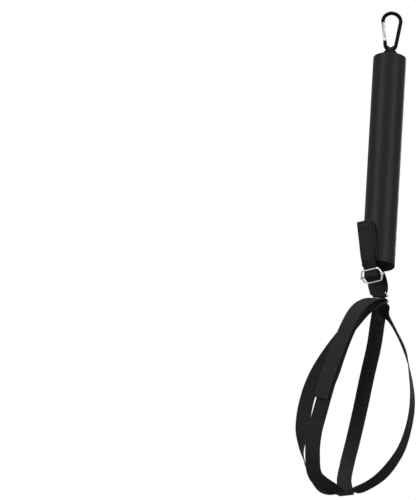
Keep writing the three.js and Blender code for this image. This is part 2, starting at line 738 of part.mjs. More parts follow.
function strapTail() {
  const start = behind(buckleHalfHeight, threadAngle);
  const next = behind(buckleHalfHeight, weaveAngle);
  const places = [start.clone().lerp(next, seatGap / start.distanceTo(next)), next,
    inFront(-weaveAngle), inFront(0), inFront(weaveAngle),
    behind(-buckleHalfHeight, -weaveAngle), behind(-buckleHalfHeight, 0), tailMid,
    tailMid.clone().lerp(tailTop, 1 / 2), tailTop];
  const rows = bandRows(bandPath(places, places.map(() => buckleBarDirection)), tailSteps);
  const heading = tailTop.clone().sub(tailMid).normalize();
  const inward = heading.clone().cross(buckleBarDirection).normalize();
  if (inward.dot(tailTop) > 0) inward.negate();
  const hemRadius = layer / 2;
  const hemCentre = tailTop.clone().addScaledVector(inward, hemRadius);
  for (let i = 1; i <= hemTurns; i += 1) {
    const angle = (i / hemTurns) * Math.PI;
    const centre = hemCentre.clone().addScaledVector(inward, -hemRadius * Math.cos(angle))
      .addScaledVector(heading, hemRadius * Math.sin(angle));
    rows.push(flatRow(centre, buckleBarDirection, webbingWidth, acrossSteps));
  }
  const hemEnd = tailTop.clone().addScaledVector(inward, layer).addScaledVector(heading, -hemLength);
  rows.push(flatRow(hemEnd, buckleBarDirection, webbingWidth, acrossSteps));
  return strip(rows, webbingThickness);
}

// Short tab that holds the buckle: from the cord's lower fitting, round the centre bar and back
function buckleTab() {
  const mouth = new THREE.Vector3(-mouthX, 0, tubeBottomZ);
  const away = mouth.clone().sub(buckleCentre);
  away.addScaledVector(buckleBarDirection, -away.dot(buckleBarDirection)).normalize();
  const side = away.clone().cross(buckleBarDirection).normalize();
  if (side.dot(buckleDown) > 0) side.negate();
  const roundBar = (angle) => buckleCentre.clone().addScaledVector(side, behindBar * Math.cos(angle))
    .addScaledVector(away, -behindBar * Math.sin(angle));
  const nearBar = roundBar(0).addScaledVector(away, tabLeadShare * behindBar).addScaledVector(side, -halfWebbing);
  const frontward = backward.clone().negate();
  const eased = mouth.clone().addScaledVector(upward, -tabEaseLength);
  const easeIn = (share) => frontward.clone().lerp(buckleBarDirection, share);
  const comingDown = bandPath(
    [new THREE.Vector3(-mouthX, 0, strapTopZ),
      new THREE.Vector3(-mouthX, 0, tubeBottomZ + lowerFittingRise / 2),
      mouth, eased, nearBar.clone().lerp(eased, 1 / 2), nearBar, roundBar(0)],
    [0, 0, 0, ...tabTurnShares, 1, 1].map(easeIn), tabKeptPlaces);
  const wrap = [];
  for (let i = 1; i < wrapSteps; i += 1) {
    wrap.push(flatRow(roundBar((i / wrapSteps) * Math.PI), buckleBarDirection, webbingWidth, acrossSteps));
  }
  const doubled = nearBar.clone().addScaledVector(side, -layer);
  const goingBack = bandPath([roundBar(Math.PI), doubled, doubled.clone().addScaledVector(away, behindBar)],
    [1, 1, 1].map(easeIn));
  const rows = [...bandRows(comingDown, tabSteps), ...wrap, ...bandRows(goingBack, tabSteps)];
  return cut(strip(rows, webbingThickness), [rivetHoleAcross()]);
}

// Cradle, in its own frame with the middle of the D-ring's flat bar at the origin.
// The side loop lies against the bar, and the front loop lies over it.
const innerWrap = ringWireRadius + seatGap + halfWebbing;
const outerWrap = innerWrap + layer;
const crossing = new THREE.Vector3(...crossingShares.map((share) => share * cradleDrop));
const crossingPlane = new THREE.Matrix4().makeRotationZ(crossingTurn)
  .multiply(new THREE.Matrix4().makeRotationX(crossingPitch))
  .multiply(new THREE.Matrix4().makeRotationY(-crossingRoll));
const towardsRight = new THREE.Vector3(1, 0, 0).transformDirection(crossingPlane);
const towardsBack = new THREE.Vector3(0, 1, 0).transformDirection(crossingPlane);
const outOfCradle = new THREE.Vector3(0, 0, -1).transformDirection(crossingPlane);

function turnedAcross(degrees) {
  return rightward.clone().applyAxisAngle(upward, THREE.MathUtils.degToRad(degrees));
}

// One leg from the bar to the crossing: its places, and its direction across at each
function leg(shares, turns, start, outward, across, layersOut) {
  const meeting = crossing.clone().addScaledVector(outOfCradle, layersOut * layer);
  const places = shares.map((place) => new THREE.Vector3(...place.map((share) => share * cradleDrop)));
  return bandPath([start, ...places, meeting.clone().addScaledVector(outward, crossingRunIn),
    meeting.clone().addScaledVector(outward, crossingHalf), meeting],
  [rightward, ...turns.map(turnedAcross), across, across, across], keptPlaces);
}

function onWrap(radius, angle) {
  return new THREE.Vector3(0, -radius * Math.sin(angle), radius * Math.cos(angle));
}

function wrapRows(radius, from, to) {
  const rows = [];
  for (let i = 1; i < wrapSteps; i += 1) {
    const angle = from + (to - from) * (i / wrapSteps);
    rows.push(flatRow(onWrap(radius, angle), rightward, webbingWidth, acrossSteps));
  }
  return rows;
}

const sideAcross = towardsBack.clone().negate();
const leftLeg = leg(leftLegShares, leftLegTurns, onWrap(innerWrap, wrapLeave.left),
  towardsRight.clone().negate(), sideAcross, 0);
const rightLeg = leg(rightLegShares, rightLegTurns, onWrap(innerWrap, wrapLeave.right),
  towardsRight, sideAcross, 0);
const frontLeg = leg(frontLegShares, frontLegTurns, onWrap(outerWrap, wrapLeave.front),
  towardsBack.clone().negate(), towardsRight, 1);
const backLeg = leg(backLegShares, backLegTurns, onWrap(outerWrap, wrapLeave.back),
  towardsBack, towardsRight, 1);

function sideLoop() {
  const rows = [
    ...bandRows(leftLeg, legSteps), ...bandRows(rightLeg, legSteps).reverse().slice(1),
    ...wrapRows(innerWrap, wrapLeave.right, wrapLeave.left),
  ];
  return strip(rows, webbingThickness, true);
}

// Rows of the front leg between two shares of its way down, lifted outward by some height
function frontLegRows(fromShare, toShare, lift, width = webbingWidth) {
  const count = Math.ceil((toShare - fromShare) * legSteps * frontLeg.spans);
  const rows = [];
  for (let i = 0; i <= count; i += 1) {
    const share = fromShare + (toShare - fromShare) * (i / count);
    rows.push(rowAt(frontLeg, share, width, lift(share)));
  }
  return rows;
}

// The closure is a stack on the lower strip: loop patch, hook patch, flap
const loopPatchLift = (webbingThickness + patchThickness) / 2 + seatGap;
const hookPatchLift = loopPatchLift + patchThickness + seatGap;
const flapLift = hookPatchLift + (webbingThickness + patchThickness) / 2 + seatGap;

function ramp(share) {
  const [from, to] = closureRampShares;
  return flapLift * THREE.MathUtils.smoothstep(share, from, to);
}

const shareGap = seatGap / cradleDrop;

function frontLoop() {
  const rows = [
    ...frontLegRows(lowerStripStartShare, 1, () => 0),
    ...bandRows(backLeg, legSteps).reverse().slice(1),
    ...wrapRows(outerWrap, wrapLeave.back, wrapLeave.front),
    ...frontLegRows(0, flapHingeShare - shareGap, ramp),
  ];
  return strip(rows, webbingThickness);
}

function patch(fromShare, toShare, lift) {
  return strip(frontLegRows(fromShare, toShare, () => lift, webbingWidth - 2 * patchInset), patchThickness);
}

const part = new THREE.Group();

const gateGroup = grouped(...gatePivot.toArray(),
  named('carabiner_gate', gateBody(), 'brightMetal'),
  named('gate_latch_pin', rod(latchPinRadius, -gateRadius, gateRadius, 'y')
    .translate(0, 0, gateLength - latchPinDrop), 'brightMetal'),
  named('gate_plunger', gatePlunger(), 'springSteel'),
  named('gate_spring', gateSpring(), 'springSteel'),
  named('gate_hinge_rivet',
    rivet(rivetRadius, gateRadius + pinGap, rivetHeadRadius, rivetHeadHeight), 'brightMetal'));
gateGroup.rotation.y = -sideLean;
part.add(named('carabiner_body', carabinerBody(), 'blackBar'), gateGroup);

part.add(
  named('top_loop', topLoop(), 'webbing'),
  named('foam_tube', foamTube(), 'foam'),
  named('elastic_cord', elasticCord(), 'elastic'),
  grouped(0, 0, upperFittingZ,
    named('upper_cord_fitting', cordFitting(), 'springSteel'),
    named('upper_fitting_rivet', fittingRivet().translate(0, 0, -fittingRivetSetback), 'springSteel')));

// The lower fitting is the same piece upside down and turned by a quarter
const lowerFitting = grouped(0, 0, lowerFittingZ,
  named('lower_cord_fitting', cordFitting(), 'springSteel'),
  named('lower_fitting_rivet', fittingRivet().translate(0, 0, -fittingRivetSetback), 'springSteel'));
lowerFitting.rotation.set(Math.PI, 0, Math.PI / 2);
part.add(lowerFitting);

part.add(
  named('standing_strap', standingStrap(), 'webbing'),
  named('strap_fold', strapFold(), 'webbing'),
  named('returning_strap', returningStrap(), 'webbing'),
  named('strap_tail', strapTail(), 'webbing'),
  named('buckle_tab', buckleTab(), 'webbing'));

const buckle = grouped(...buckleCentre.toArray(),
  named('buckle_frame', buckleFrame(), 'brightMetal'),
  named('buckle_centre_bar', buckleCentreBar(), 'brightMetal'));
buckle.setRotationFromMatrix(new THREE.Matrix4().makeBasis(
  buckleBarDirection, buckleOut.clone().negate(), buckleDown.clone().negate()));
part.add(buckle);

const patchStartShare = lowerStripStartShare + patchEndShare;
const cradle = grouped(ringRight, 0, ringBarZ,
  named('d_ring', dRing(), 'brightMetal'),
  named('side_loop', sideLoop(), 'webbing'),
  named('front_loop', frontLoop(), 'webbing'),
  named('loop_patch', patch(patchStartShare, loopPatchEndShare, loopPatchLift), 'hookTape'),
  named('hook_patch', patch(patchStartShare, flapEndShare - patchEndShare, hookPatchLift), 'hookTape'),
  named('closure_flap',
    strip(frontLegRows(flapHingeShare, flapEndShare, () => flapLift), webbingThickness), 'webbing'));
part.add(cradle);

export default part;
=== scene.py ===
"""Looks for a volleyball spike trainer: a strap cradle below a foam tube, hung from a carabiner.

The webbing is rebuilt from the same places as the part, in fine rows whose ribs are real
shape. Lengths are worked out in millimetres and every mesh is written in metres.
"""

import json
import math

import bmesh
import bpy
import numpy as np
from mathutils import Matrix, Vector

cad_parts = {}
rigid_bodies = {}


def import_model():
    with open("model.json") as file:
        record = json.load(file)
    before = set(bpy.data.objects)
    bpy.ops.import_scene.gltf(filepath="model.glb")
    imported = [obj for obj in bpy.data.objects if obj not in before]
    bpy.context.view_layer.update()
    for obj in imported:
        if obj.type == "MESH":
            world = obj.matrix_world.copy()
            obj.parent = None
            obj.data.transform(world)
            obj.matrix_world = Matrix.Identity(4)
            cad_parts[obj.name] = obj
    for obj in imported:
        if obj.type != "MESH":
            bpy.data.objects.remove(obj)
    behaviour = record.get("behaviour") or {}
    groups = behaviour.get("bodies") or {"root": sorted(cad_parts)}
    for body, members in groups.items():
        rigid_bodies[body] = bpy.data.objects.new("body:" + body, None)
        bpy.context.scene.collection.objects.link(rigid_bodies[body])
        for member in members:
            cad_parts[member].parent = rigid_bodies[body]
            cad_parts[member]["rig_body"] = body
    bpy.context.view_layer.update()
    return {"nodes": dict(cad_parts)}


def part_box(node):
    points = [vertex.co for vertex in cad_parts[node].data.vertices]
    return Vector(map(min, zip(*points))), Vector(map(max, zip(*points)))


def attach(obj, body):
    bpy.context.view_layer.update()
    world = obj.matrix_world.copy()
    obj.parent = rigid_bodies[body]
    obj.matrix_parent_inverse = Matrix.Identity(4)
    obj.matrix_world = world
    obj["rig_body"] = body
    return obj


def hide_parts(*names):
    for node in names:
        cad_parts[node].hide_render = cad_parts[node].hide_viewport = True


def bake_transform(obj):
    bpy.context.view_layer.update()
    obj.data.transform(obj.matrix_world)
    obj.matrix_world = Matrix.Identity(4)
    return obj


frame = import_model()

MM = 0.001
RIGHT = np.array([1.0, 0.0, 0.0])
BACK = np.array([0.0, 1.0, 0.0])
UP = np.array([0.0, 0.0, 1.0])

# Fits and webbing as the part has them, and the ribs
SEAT_GAP = 0.3
WEBBING_WIDTH = 25.0
WEBBING_THICKNESS = 1.5
HALF_WEBBING = WEBBING_THICKNESS / 2
LAYER = WEBBING_THICKNESS + SEAT_GAP
RIB_PITCH = 2.3
RIB_DEPTH = 0.26
ROWS_PER_RIB = 4
ROWS_PER_SPAN = 24
ROWS_FILLED_IN = 10

# Carabiner and top loop
BAR_RADIUS = 3.0
NARROW_RADIUS = 9.0
BEARING_Z = -63.0
LOOP_PINCH = math.radians(72)
LOOP_WRAP_STEPS = 8
LOOP_TAIL = 23.0
TAIL_Y = 3.05
NECK_SHARES = [(0.2, 0.3, 0.1), (0.4, 0.78, 0.45), (0.62, 1.0, 0.85), (0.82, 1.0, 1.0)]

# Foam tube, its outside read from the frame
tube_low, tube_high = (np.array(corner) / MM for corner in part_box("foam_tube"))
TUBE_TOP = tube_high[2]
TUBE_BOTTOM = tube_low[2]
TUBE_RADIUS = tube_high[0]
BORE_RADIUS = 13.5
RIM_RADIUS = 3.0

# D-ring and the strap round it
WIRE_RADIUS = 1.6
RING_BEND = 15.0
RING_CORNER = 2.6
RING_X = 6.1
RING_BAR_Z = TUBE_BOTTOM - 61.4
RING_BEND_Z = RING_BAR_Z + RING_CORNER
FOLD_RISE = 5.0
FOLD_EASE = 3.0
FOLD_X = 4.6
FOLD_Z = RING_BAR_Z + 10.0
FOLD_WIDTH = 20.8
FOLD_SLACK = 0.2
FOLD_WIDENS_AT = math.radians(55)
FOLD_STEPS = 12
FOLD_ROWS_FILLED_IN = 6
FRONT_ASIDE = 2.0
RETURN_RISE = 2.2
RETURN_ASIDE = 0.9
RETURN_TILT = 0.2
RETURN_STRETCH = 11.0
STRAP_TOP_Z = TUBE_BOTTOM + 36.7
MOUTH_X = 3.05
FITTING_RISE = 20.0

# Buckle
BUCKLE_WIRE = 1.3
BUCKLE_HALF_HEIGHT = 11.0
BUCKLE_CENTRE = np.array([-10.2, -17.0, TUBE_BOTTOM - 22.6])
BUCKLE_ACROSS = np.array([0.838, -0.541, 0.071])
BUCKLE_HINT = np.array([0.325, 0.422, -0.844])
THREAD_ANGLE = math.radians(24)
RETURN_SHARES = (0.33, 0.67)
STANDING_SHARES = (0.0, 0.34, 0.67, 1.0)
TAB_TURN_SHARES = (0.04, 0.5)
TAB_EASE = 3.0
TAB_KEPT_PLACES = 6
TAB_STANDOFF = 3
TAB_WRAP_STEPS = 12
TAIL_TOP = np.array([-28.6, -28.7, TUBE_BOTTOM + 69.5])
TAIL_MID = np.array([-18.2, -26.6, TUBE_BOTTOM + 3.0])
TAIL_ACROSS = np.array([0.944, -0.25, 0.215])
TAIL_TURN_SHARES = (0.3, 0.8, 1)
HEM_LENGTH = 68.0
HEM_ASIDE = 5.0
HEM_ASIDE_RATE = 6
HEM_TWIST = 0.7
HEM_STEPS = 8

# Cradle
CRADLE_DROP = 343.0
CROSSING_HALF = 13.0
CROSSING_RUN_IN = 24.0
CROSSING_TURN = math.radians(-18)
CROSSING_PITCH = math.radians(12)
CROSSING_ROLL = math.radians(3)
KEPT_PLACES = 3
CROSSING = CRADLE_DROP * np.array([-0.1312, -0.0117, -1.0])
FRONT_LEG = [
    (-0.017, -0.032, 0.004), (-0.050, -0.061, -0.016), (-0.090, -0.096, -0.062),
    (-0.129, -0.128, -0.152), (-0.172, -0.152, -0.280), (-0.211, -0.169, -0.431),
    (-0.246, -0.178, -0.590), (-0.283, -0.175, -0.742), (-0.288, -0.155, -0.871),
    (-0.265, -0.111, -0.960),
]
FRONT_TURNS = [-4, -8, -12, -14, -14, -13, -8, -4, -5, -14]
BACK_LEG = [
    (0.000, 0.026, 0.004), (0.000, 0.050, -0.029), (-0.006, 0.090, -0.090),
    (-0.015, 0.140, -0.181), (-0.041, 0.204, -0.327), (-0.064, 0.245, -0.475),
    (-0.090, 0.245, -0.636), (-0.114, 0.201, -0.781), (-0.125, 0.125, -0.898),
]
BACK_TURNS = [0, 0, -2, -3, -5, -6, -6, -6, -8]
LEFT_LEG = [
    (-0.003, -0.015, -0.009), (-0.032, -0.044, -0.035), (-0.082, -0.064, -0.082),
    (-0.149, -0.047, -0.169), (-0.235, 0.006, -0.283), (-0.299, 0.064, -0.397),
    (-0.333, 0.105, -0.514), (-0.343, 0.118, -0.619), (-0.340, 0.118, -0.713),
    (-0.329, 0.105, -0.795), (-0.302, 0.080, -0.885), (-0.249, 0.040, -0.967),
]
LEFT_TURNS = [-2, -6, -14, -22, -24, -18, -11, -12, -58, -94, -96, -90]
RIGHT_LEG = [
    (0.003, 0.012, -0.012), (0.020, 0.015, -0.035), (0.047, 0.012, -0.079),
    (0.090, 0.000, -0.157), (0.140, -0.015, -0.265), (0.1695, -0.029, -0.388),
    (0.1855, -0.041, -0.516), (0.175, -0.050, -0.653), (0.138, -0.052, -0.787),
    (0.058, -0.044, -0.910), (-0.022, -0.029, -0.970),
]
RIGHT_TURNS = [-8, -30, -84, -92, -89, -103, -110, -112, -119, -130, -126]
RIGHT_FOOT_TURN = -118
RIGHT_FOOT_RISE = 2.2
WRAP_LEAVE = {"left": 1.2, "right": -1.45, "front": 0.5, "back": -1}
WRAP_STEPS = 16

# Hook and loop closure, its places as shares of the way down the front leg
PATCH_THICKNESS = 0.9
PATCH_INSET = 2.5
LOWER_START = 0.408
FLAP_HINGE = 0.377
HINGE_STEP = 0.01
FLAP_START = 0.35
FLAP_END = 0.536
LOOP_PATCH_END = 0.585
PATCH_END = 0.012
RAMP_SHARES = (0.12, 0.33)
STRIP_START = 0.21
STRIP_SHOWS = (0.2, 0.3)
STRIP_ASIDE = 3.2
FLAP_ASIDE = 3.6
FLAP_ASIDE_START = 0.36
STRIP_TUCK = 2.5
STRIP_TUCK_SHARE = 0.05
STRIP_BOW = 2.2
BOW_STARTS = (0.46, 0.5)
BOW_ENDS = (0.53, 0.6)
LOOP_TAPE_TAPER = 6.0
HOOK_TAPE_TAPER = 2.0

# How the picture is taken: from in front and below, the part leaning a little to the right
PIXELS_WIDE, PIXELS_HIGH = 416, 500
MM_PER_PIXEL = 1.685
ELEVATION = math.radians(-19)
LEAN = math.radians(3.375)
HANG_PIXEL = (393.1, 13.9)
CAMERA_DISTANCE = 30.0
CLIP_END = 100.0
SENSOR_WIDTH = 36.0

# The white room: how bright it looks to matt and to shiny surfaces, its floor and lamps
ROOM_LIGHT = 0.14
MIRRORED_ROOM = 0.5
FLOOR_Z = -24.0
FLOOR_SIZE = 240.0
LAMPS_AIM = (0.0, 0.0, -0.45)


def added(name, data):
    """An object in the scene for a mesh, a camera or a lamp."""
    obj = bpy.data.objects.new(name, data)
    bpy.context.scene.collection.objects.link(obj)
    return obj


# Camera and light
def make_camera():
    """An upright camera turned by the lean, with the hanging point on its own pixel."""
    into = np.array([0.0, math.cos(ELEVATION), -math.sin(ELEVATION)])
    up = np.array([0.0, math.sin(ELEVATION), math.cos(ELEVATION)])
    rolled_right = RIGHT * math.cos(LEAN) + up * math.sin(LEAN)
    rolled_up = up * math.cos(LEAN) - RIGHT * math.sin(LEAN)
    across = PIXELS_WIDE / 2 - HANG_PIXEL[0]
    above = HANG_PIXEL[1] - PIXELS_HIGH / 2
    middle = (RING_BAR_Z - CRADLE_DROP) / 2 * UP
    target = MM_PER_PIXEL * (across * rolled_right + above * rolled_up) + into * np.dot(into, middle)
    data = bpy.data.cameras.new("camera")
    data.sensor_width = SENSOR_WIDTH
    data.lens = SENSOR_WIDTH * CAMERA_DISTANCE / (PIXELS_HIGH * MM_PER_PIXEL * MM)
    data.clip_end = CLIP_END
    camera = added("camera", data)
    place = target * MM - into * CAMERA_DISTANCE
    axes = np.stack([rolled_right, rolled_up, -into, place], axis=1)
    camera.matrix_world = Matrix([*axes.tolist(), (0, 0, 0, 1)])
    bpy.context.scene.camera = camera


def lamp(name, place, size, power):
    data = bpy.data.lights.new(name, "AREA")
    data.shape = "RECTANGLE"
    data.size, data.size_y = size
    data.energy = power
    light = added(name, data)
    light.location = place
    aim = Vector(LAMPS_AIM) - Vector(place)
    light.rotation_euler = aim.to_track_quat("-Z", "Y").to_euler()


def make_light():
    lamp("left softbox", place=(-2.2, -2.1, 0.3), size=(0.5, 2.6), power=62)
    lamp("right softbox", place=(2.1, -2.2, 0.2), size=(0.5, 2.4), power=58)
    lamp("top softbox", place=(0.2, -0.3, 2.6), size=(1.8, 1.8), power=60)
    lamp("back softbox", place=(0.6, 2.8, 0.6), size=(2.0, 2.0), power=40)


# Finishes
class Output:
    """What a node gives. Arithmetic on it adds Math nodes to its tree."""

    def __init__(self, tree, socket):
        self.tree = tree
        self.socket = socket

    def __add__(self, other):
        return self.tree.maths("ADD", self, other)

    def __sub__(self, other):
        return self.tree.maths("SUBTRACT", self, other)

    def __rsub__(self, other):
        return self.tree.maths("SUBTRACT", other, self)

    def __mul__(self, other):
        return self.tree.maths("MULTIPLY", self, other)

    def __truediv__(self, other):
        return self.tree.maths("DIVIDE", self, other)

    __radd__ = __add__
    __rmul__ = __mul__


class Tree:
    """A tree of nodes and the few calls that it is built with."""

    def node(self, kind, settings=None, inputs=None, **named):
        """A new node, each of its inputs set to a plain value or fed by another node."""
        made = self.graph.nodes.new(kind)
        for key, value in (settings or {}).items():
            setattr(made, key, value)
        for key, value in {**(inputs or {}), **named}.items():
            if isinstance(value, Output):
                self.graph.links.new(value.socket, made.inputs[key])
            else:
                made.inputs[key].default_value = value
        return made

    def out(self, kind, settings=None, inputs=None, output=0, **named):
        return Output(self, self.node(kind, settings, inputs, **named).outputs[output])

    def outs(self, kind, settings=None, inputs=None, **named):
        made = self.node(kind, settings, inputs, **named)
        return {socket.name: Output(self, socket) for socket in made.outputs}

    def maths(self, operation, *values):
        return self.out("ShaderNodeMath", {"operation": operation}, dict(enumerate(values)))

    def parts(self, vector):
        return list(self.outs("ShaderNodeSeparateXYZ", None, {0: vector}).values())


class Finish(Tree):
    """A material, or the world, and what its pattern is written with."""

    def __init__(self, name, kind=bpy.data.materials):
        self.owner = kind.new(name)
        self.owner.use_nodes = True
        self.graph = self.owner.node_tree
        self.graph.nodes.clear()

    def sine(self, value):
        return self.maths("SINE", value)

    def clamp(self, value):
        return self.out("ShaderNodeClamp", None, {0: value})

    def smooth(self, value, low, high):
        return self.out("ShaderNodeMapRange", {"interpolation_type": "SMOOTHSTEP"},
                        {"Value": value, "From Min": low, "From Max": high})

    def object_place(self):
        return self.out("ShaderNodeTexCoord", output="Object")

    def strap_place(self):
        """Metres across and along the webbing."""
        return self.parts(self.out("ShaderNodeUVMap"))[:2]

    def stretched(self, place, scale):
        return self.out("ShaderNodeMapping", Vector=place, Scale=scale)

    def noise(self, place, size, rough, detail=3.0):
        return self.out("ShaderNodeTexNoise", output="Fac", Vector=place, Scale=1 / size,
                        Detail=detail, Roughness=rough)

    def pores(self, place, size):
        return self.out("ShaderNodeTexVoronoi", output="Distance", Vector=place, Scale=1 / size)

    def colour_mix(self, share, first, second):
        """Inputs 6 and 7 and output 2 are the Mix node's colours."""
        return self.out("ShaderNodeMix", {"data_type": "RGBA"}, {0: share, 6: first, 7: second}, 2)

    def bump(self, height, distance):
        return self.out("ShaderNodeBump", Height=height, Distance=distance)

    def room_seen(self, least):
        """How bright the white room shows: in full to the camera, less in a shiny surface."""
        rays = self.outs("ShaderNodeLightPath")
        seen = least
        for ray, share in (("Is Camera Ray", 1.0), ("Is Transmission Ray", 1.0),
                           ("Is Glossy Ray", MIRRORED_ROOM)):
            seen = self.maths("MAXIMUM", rays[ray] * share, seen)
        return seen

    def show(self, shader):
        self.node("ShaderNodeOutputMaterial", None, {0: shader})
        return self.owner

    def shade(self, colour, rough, normal, specular=0.5, metallic=0.0):
        return self.show(self.out("ShaderNodeBsdfPrincipled", None, {
            "Base Color": colour, "Roughness": rough, "Normal": normal,
            "Specular IOR Level": specular, "Metallic": metallic}))


def grey(level, warmth=0.0):
    return (level * (1 + warmth), level, level * (1 - warmth), 1.0)


YARN_PITCH = 0.85
YARN_WANDER = 1.4


def webbing_finish():
    """Ribbed black webbing: yarns that cross on each rib, painted shading that follows the ribs, and patchy
    wear.
    """
    finish = Finish("black ribbed webbing")
    across, along = finish.strap_place()
    place = finish.object_place()
    # rib is 0 on the rib crests and 1 in the grooves between them; in the colour it is painted rib shading
    rib = 0.5 - 0.5 * finish.sine(along * (2 * math.pi / (RIB_PITCH * MM)) + math.pi / 2)
    wander = finish.sine(along * (math.pi / (RIB_PITCH * MM))) * YARN_WANDER
    yarn = 0.5 + 0.5 * finish.sine(across * (2 * math.pi / (YARN_PITCH * MM)) + wander)
    fray = finish.noise(place, 0.35 * MM, rough=0.7)
    worn = finish.noise(place, 18 * MM, rough=0.55)
    height = yarn * 0.55 + fray * 0.45
    # Tone of the webbing: its rib term is painted shading, lighter in the grooves and darker on the crests
    light = finish.clamp(rib * 0.75 + yarn * 0.15 + fray * 0.2 + worn * 0.3 - 0.2)
    colour = finish.colour_mix(light, grey(0.001), grey(0.026, warmth=0.02))
    rough = finish.clamp(0.62 + fray * 0.3)
    return finish.shade(colour, rough, finish.bump(height, 0.12 * MM), specular=0.14)


def thread_finish():
    """Twisted polyester thread, a shade glossier than the webbing."""
    finish = Finish("black sewing thread")
    place = finish.object_place()
    twist = finish.noise(finish.stretched(place, (1, 1, 2)), 0.15 * MM, rough=0.6, detail=2.0)
    colour = finish.colour_mix(twist, grey(0.018), grey(0.06))
    return finish.shade(colour, 0.45 + twist * 0.2, finish.bump(twist, 0.05 * MM), specular=0.3)


def pile_finish(name, dark, bright, size):
    """Hook or loop tape seen from a distance: a dense, matt pile."""
    finish = Finish(name)
    place = finish.object_place()
    pile = finish.noise(place, size, rough=0.75)
    tufts = finish.pores(place, 2.2 * size)
    colour = finish.colour_mix(finish.clamp(pile * 0.7 + tufts * 0.4), grey(dark), grey(bright))
    return finish.shade(colour, 0.8 + pile * 0.2, finish.bump(pile + tufts, 0.3 * MM), specular=0.15)


# How near each end of the tube the painted shade and the duller cut foam are full, in millimetres
DARK_END = 0.4


def foam_finish():
    """Closed-cell foam: a smooth skin with fine pores and soft marks, duller at its cut ends, where painted
    shade darkens the rims and end faces.
    """
    finish = Finish("charcoal foam")
    place = finish.object_place()
    cells = finish.pores(place, 0.7 * MM)
    grain = finish.noise(place, 0.4 * MM, rough=0.65)
    marks = finish.noise(finish.stretched(place, (1, 1, 0.22)), 22 * MM, rough=0.55, detail=4.0)
    scuffs = finish.noise(finish.stretched(place, (1, 1, 0.5)), 7 * MM, rough=0.7, detail=5.0)
    scuffs = finish.smooth(scuffs, low=0.58, high=0.75)
    light = finish.clamp(cells * 0.25 + grain * 0.3 + marks * 0.45)
    height = finish.parts(place)[2]
    from_middle = finish.maths("ABSOLUTE", height - (TUBE_TOP + TUBE_BOTTOM) / 2 * MM)
    half = (TUBE_TOP - TUBE_BOTTOM) / 2
    # Mask over each rounded rim and end face: painted shade in the colour, duller cut foam in the roughness
    shaded_dull_ends = finish.smooth(from_middle, (half - RIM_RADIUS) * MM, (half - DARK_END) * MM)
    skin = finish.colour_mix(light, grey(0.0065, warmth=0.01), grey(0.018, warmth=0.01))
    # Towards the ends the colour goes nearly black: painted shade
    colour = finish.colour_mix(shaded_dull_ends, skin, grey(0.003))
    rough = 0.34 + grain * 0.14 + marks * 0.1 + scuffs * 0.08 + shaded_dull_ends * 0.4
    skin_bump = finish.bump(cells * 0.5 + grain * 0.5, 0.06 * MM)
    return finish.shade(colour, finish.clamp(rough), skin_bump, specular=0.12)


def coated_finish():
    """Gloss black coating on the carabiner, with fine orange peel and hairline rubs."""
    finish = Finish("gloss black coating")
    place = finish.object_place()
    peel = finish.noise(place, 0.9 * MM, rough=0.5, detail=2.0)
    rubs = finish.noise(finish.stretched(place, (1, 1, 0.15)), 0.8 * MM, rough=0.7, detail=4.0)
    rubs = finish.smooth(rubs, low=0.62, high=0.8)
    colour = finish.colour_mix(rubs, grey(0.0015), grey(0.008))
    rough = finish.clamp(0.16 + rubs * 0.25 + peel * 0.08)
    return finish.shade(colour, rough, finish.bump(peel, 0.03 * MM), specular=0.05)


def metal_finish(name, dark, bright, rough, streak):
    """Plated or plain metal: drawn lines, faint smudges and small dulled spots."""
    finish = Finish(name)
    place = finish.object_place()
    drawn = finish.noise(finish.stretched(place, streak), 0.5 * MM, rough=0.6)
    smudge = finish.noise(place, 6 * MM, rough=0.6)
    spots = finish.smooth(finish.noise(place, 1.1 * MM, rough=0.7), low=0.62, high=0.74)
    dull = finish.clamp(smudge * 0.6 + drawn * 0.3 + spots * 0.3)
    colour = finish.colour_mix(dull, grey(bright), grey(dark))
    rough = finish.clamp(rough + drawn * 0.12 + smudge * 0.1 + spots * 0.2)
    return finish.shade(colour, rough, finish.bump(drawn, 0.015 * MM), metallic=1.0 - spots * 0.15)


CORD_STRANDS = 16
BRAID_PITCH = 9.0
BRAID_TURNS = 4


def braid_finish():
    """The elastic cord's braided cover: two sets of yarns winding opposite ways."""
    finish = Finish("braided cover")
    x, y, z = finish.parts(finish.object_place())
    round_cord = finish.maths("ARCTAN2", y, x) * (CORD_STRANDS / 2)
    up_cord = z * (2 * math.pi / (BRAID_PITCH * MM)) * BRAID_TURNS
    one, other = finish.sine(round_cord + up_cord), finish.sine(round_cord - up_cord)
    yarns = finish.maths("MAXIMUM", one, other) * 0.5 + 0.5
    colour = finish.colour_mix(yarns, grey(0.01), grey(0.045))
    return finish.shade(colour, 0.75 - yarns * 0.15, finish.bump(yarns, 0.3 * MM))


def studio_finish():
    """A pale floor that looks as white as the room and still lights the part from below."""
    finish = Finish("studio floor")
    mottle = finish.noise(finish.object_place(), 0.6, rough=0.5)
    tint = finish.colour_mix(mottle, grey(0.93), grey(0.97))
    matt = finish.out("ShaderNodeBsdfPrincipled", None, {"Base Color": tint, "Roughness": 0.9})
    lit = finish.out("ShaderNodeEmission", Color=tint, Strength=1.0)
    mixed = finish.out("ShaderNodeMixShader", None, {0: finish.room_seen(0.0), 1: matt, 2: lit})
    return finish.show(mixed)


WEBBING = webbing_finish()
THREAD = thread_finish()
HOOK_PILE = pile_finish("hook tape", dark=0.004, bright=0.018, size=0.45 * MM)
LOOP_PILE = pile_finish("loop tape", dark=0.004, bright=0.02, size=0.7 * MM)
FOAM = foam_finish()
COATED = coated_finish()
NICKEL = metal_finish("bright nickel plate", dark=0.62, bright=0.93, rough=0.12, streak=(1, 1, 1))
STEEL = metal_finish("plain steel", dark=0.3, bright=0.55, rough=0.28, streak=(1, 1, 0.2))
GATE_STEEL = metal_finish("satin gate steel", dark=0.35, bright=0.75, rough=0.24, streak=(1, 1, 0.2))
BRAID = braid_finish()
STUDIO = studio_finish()


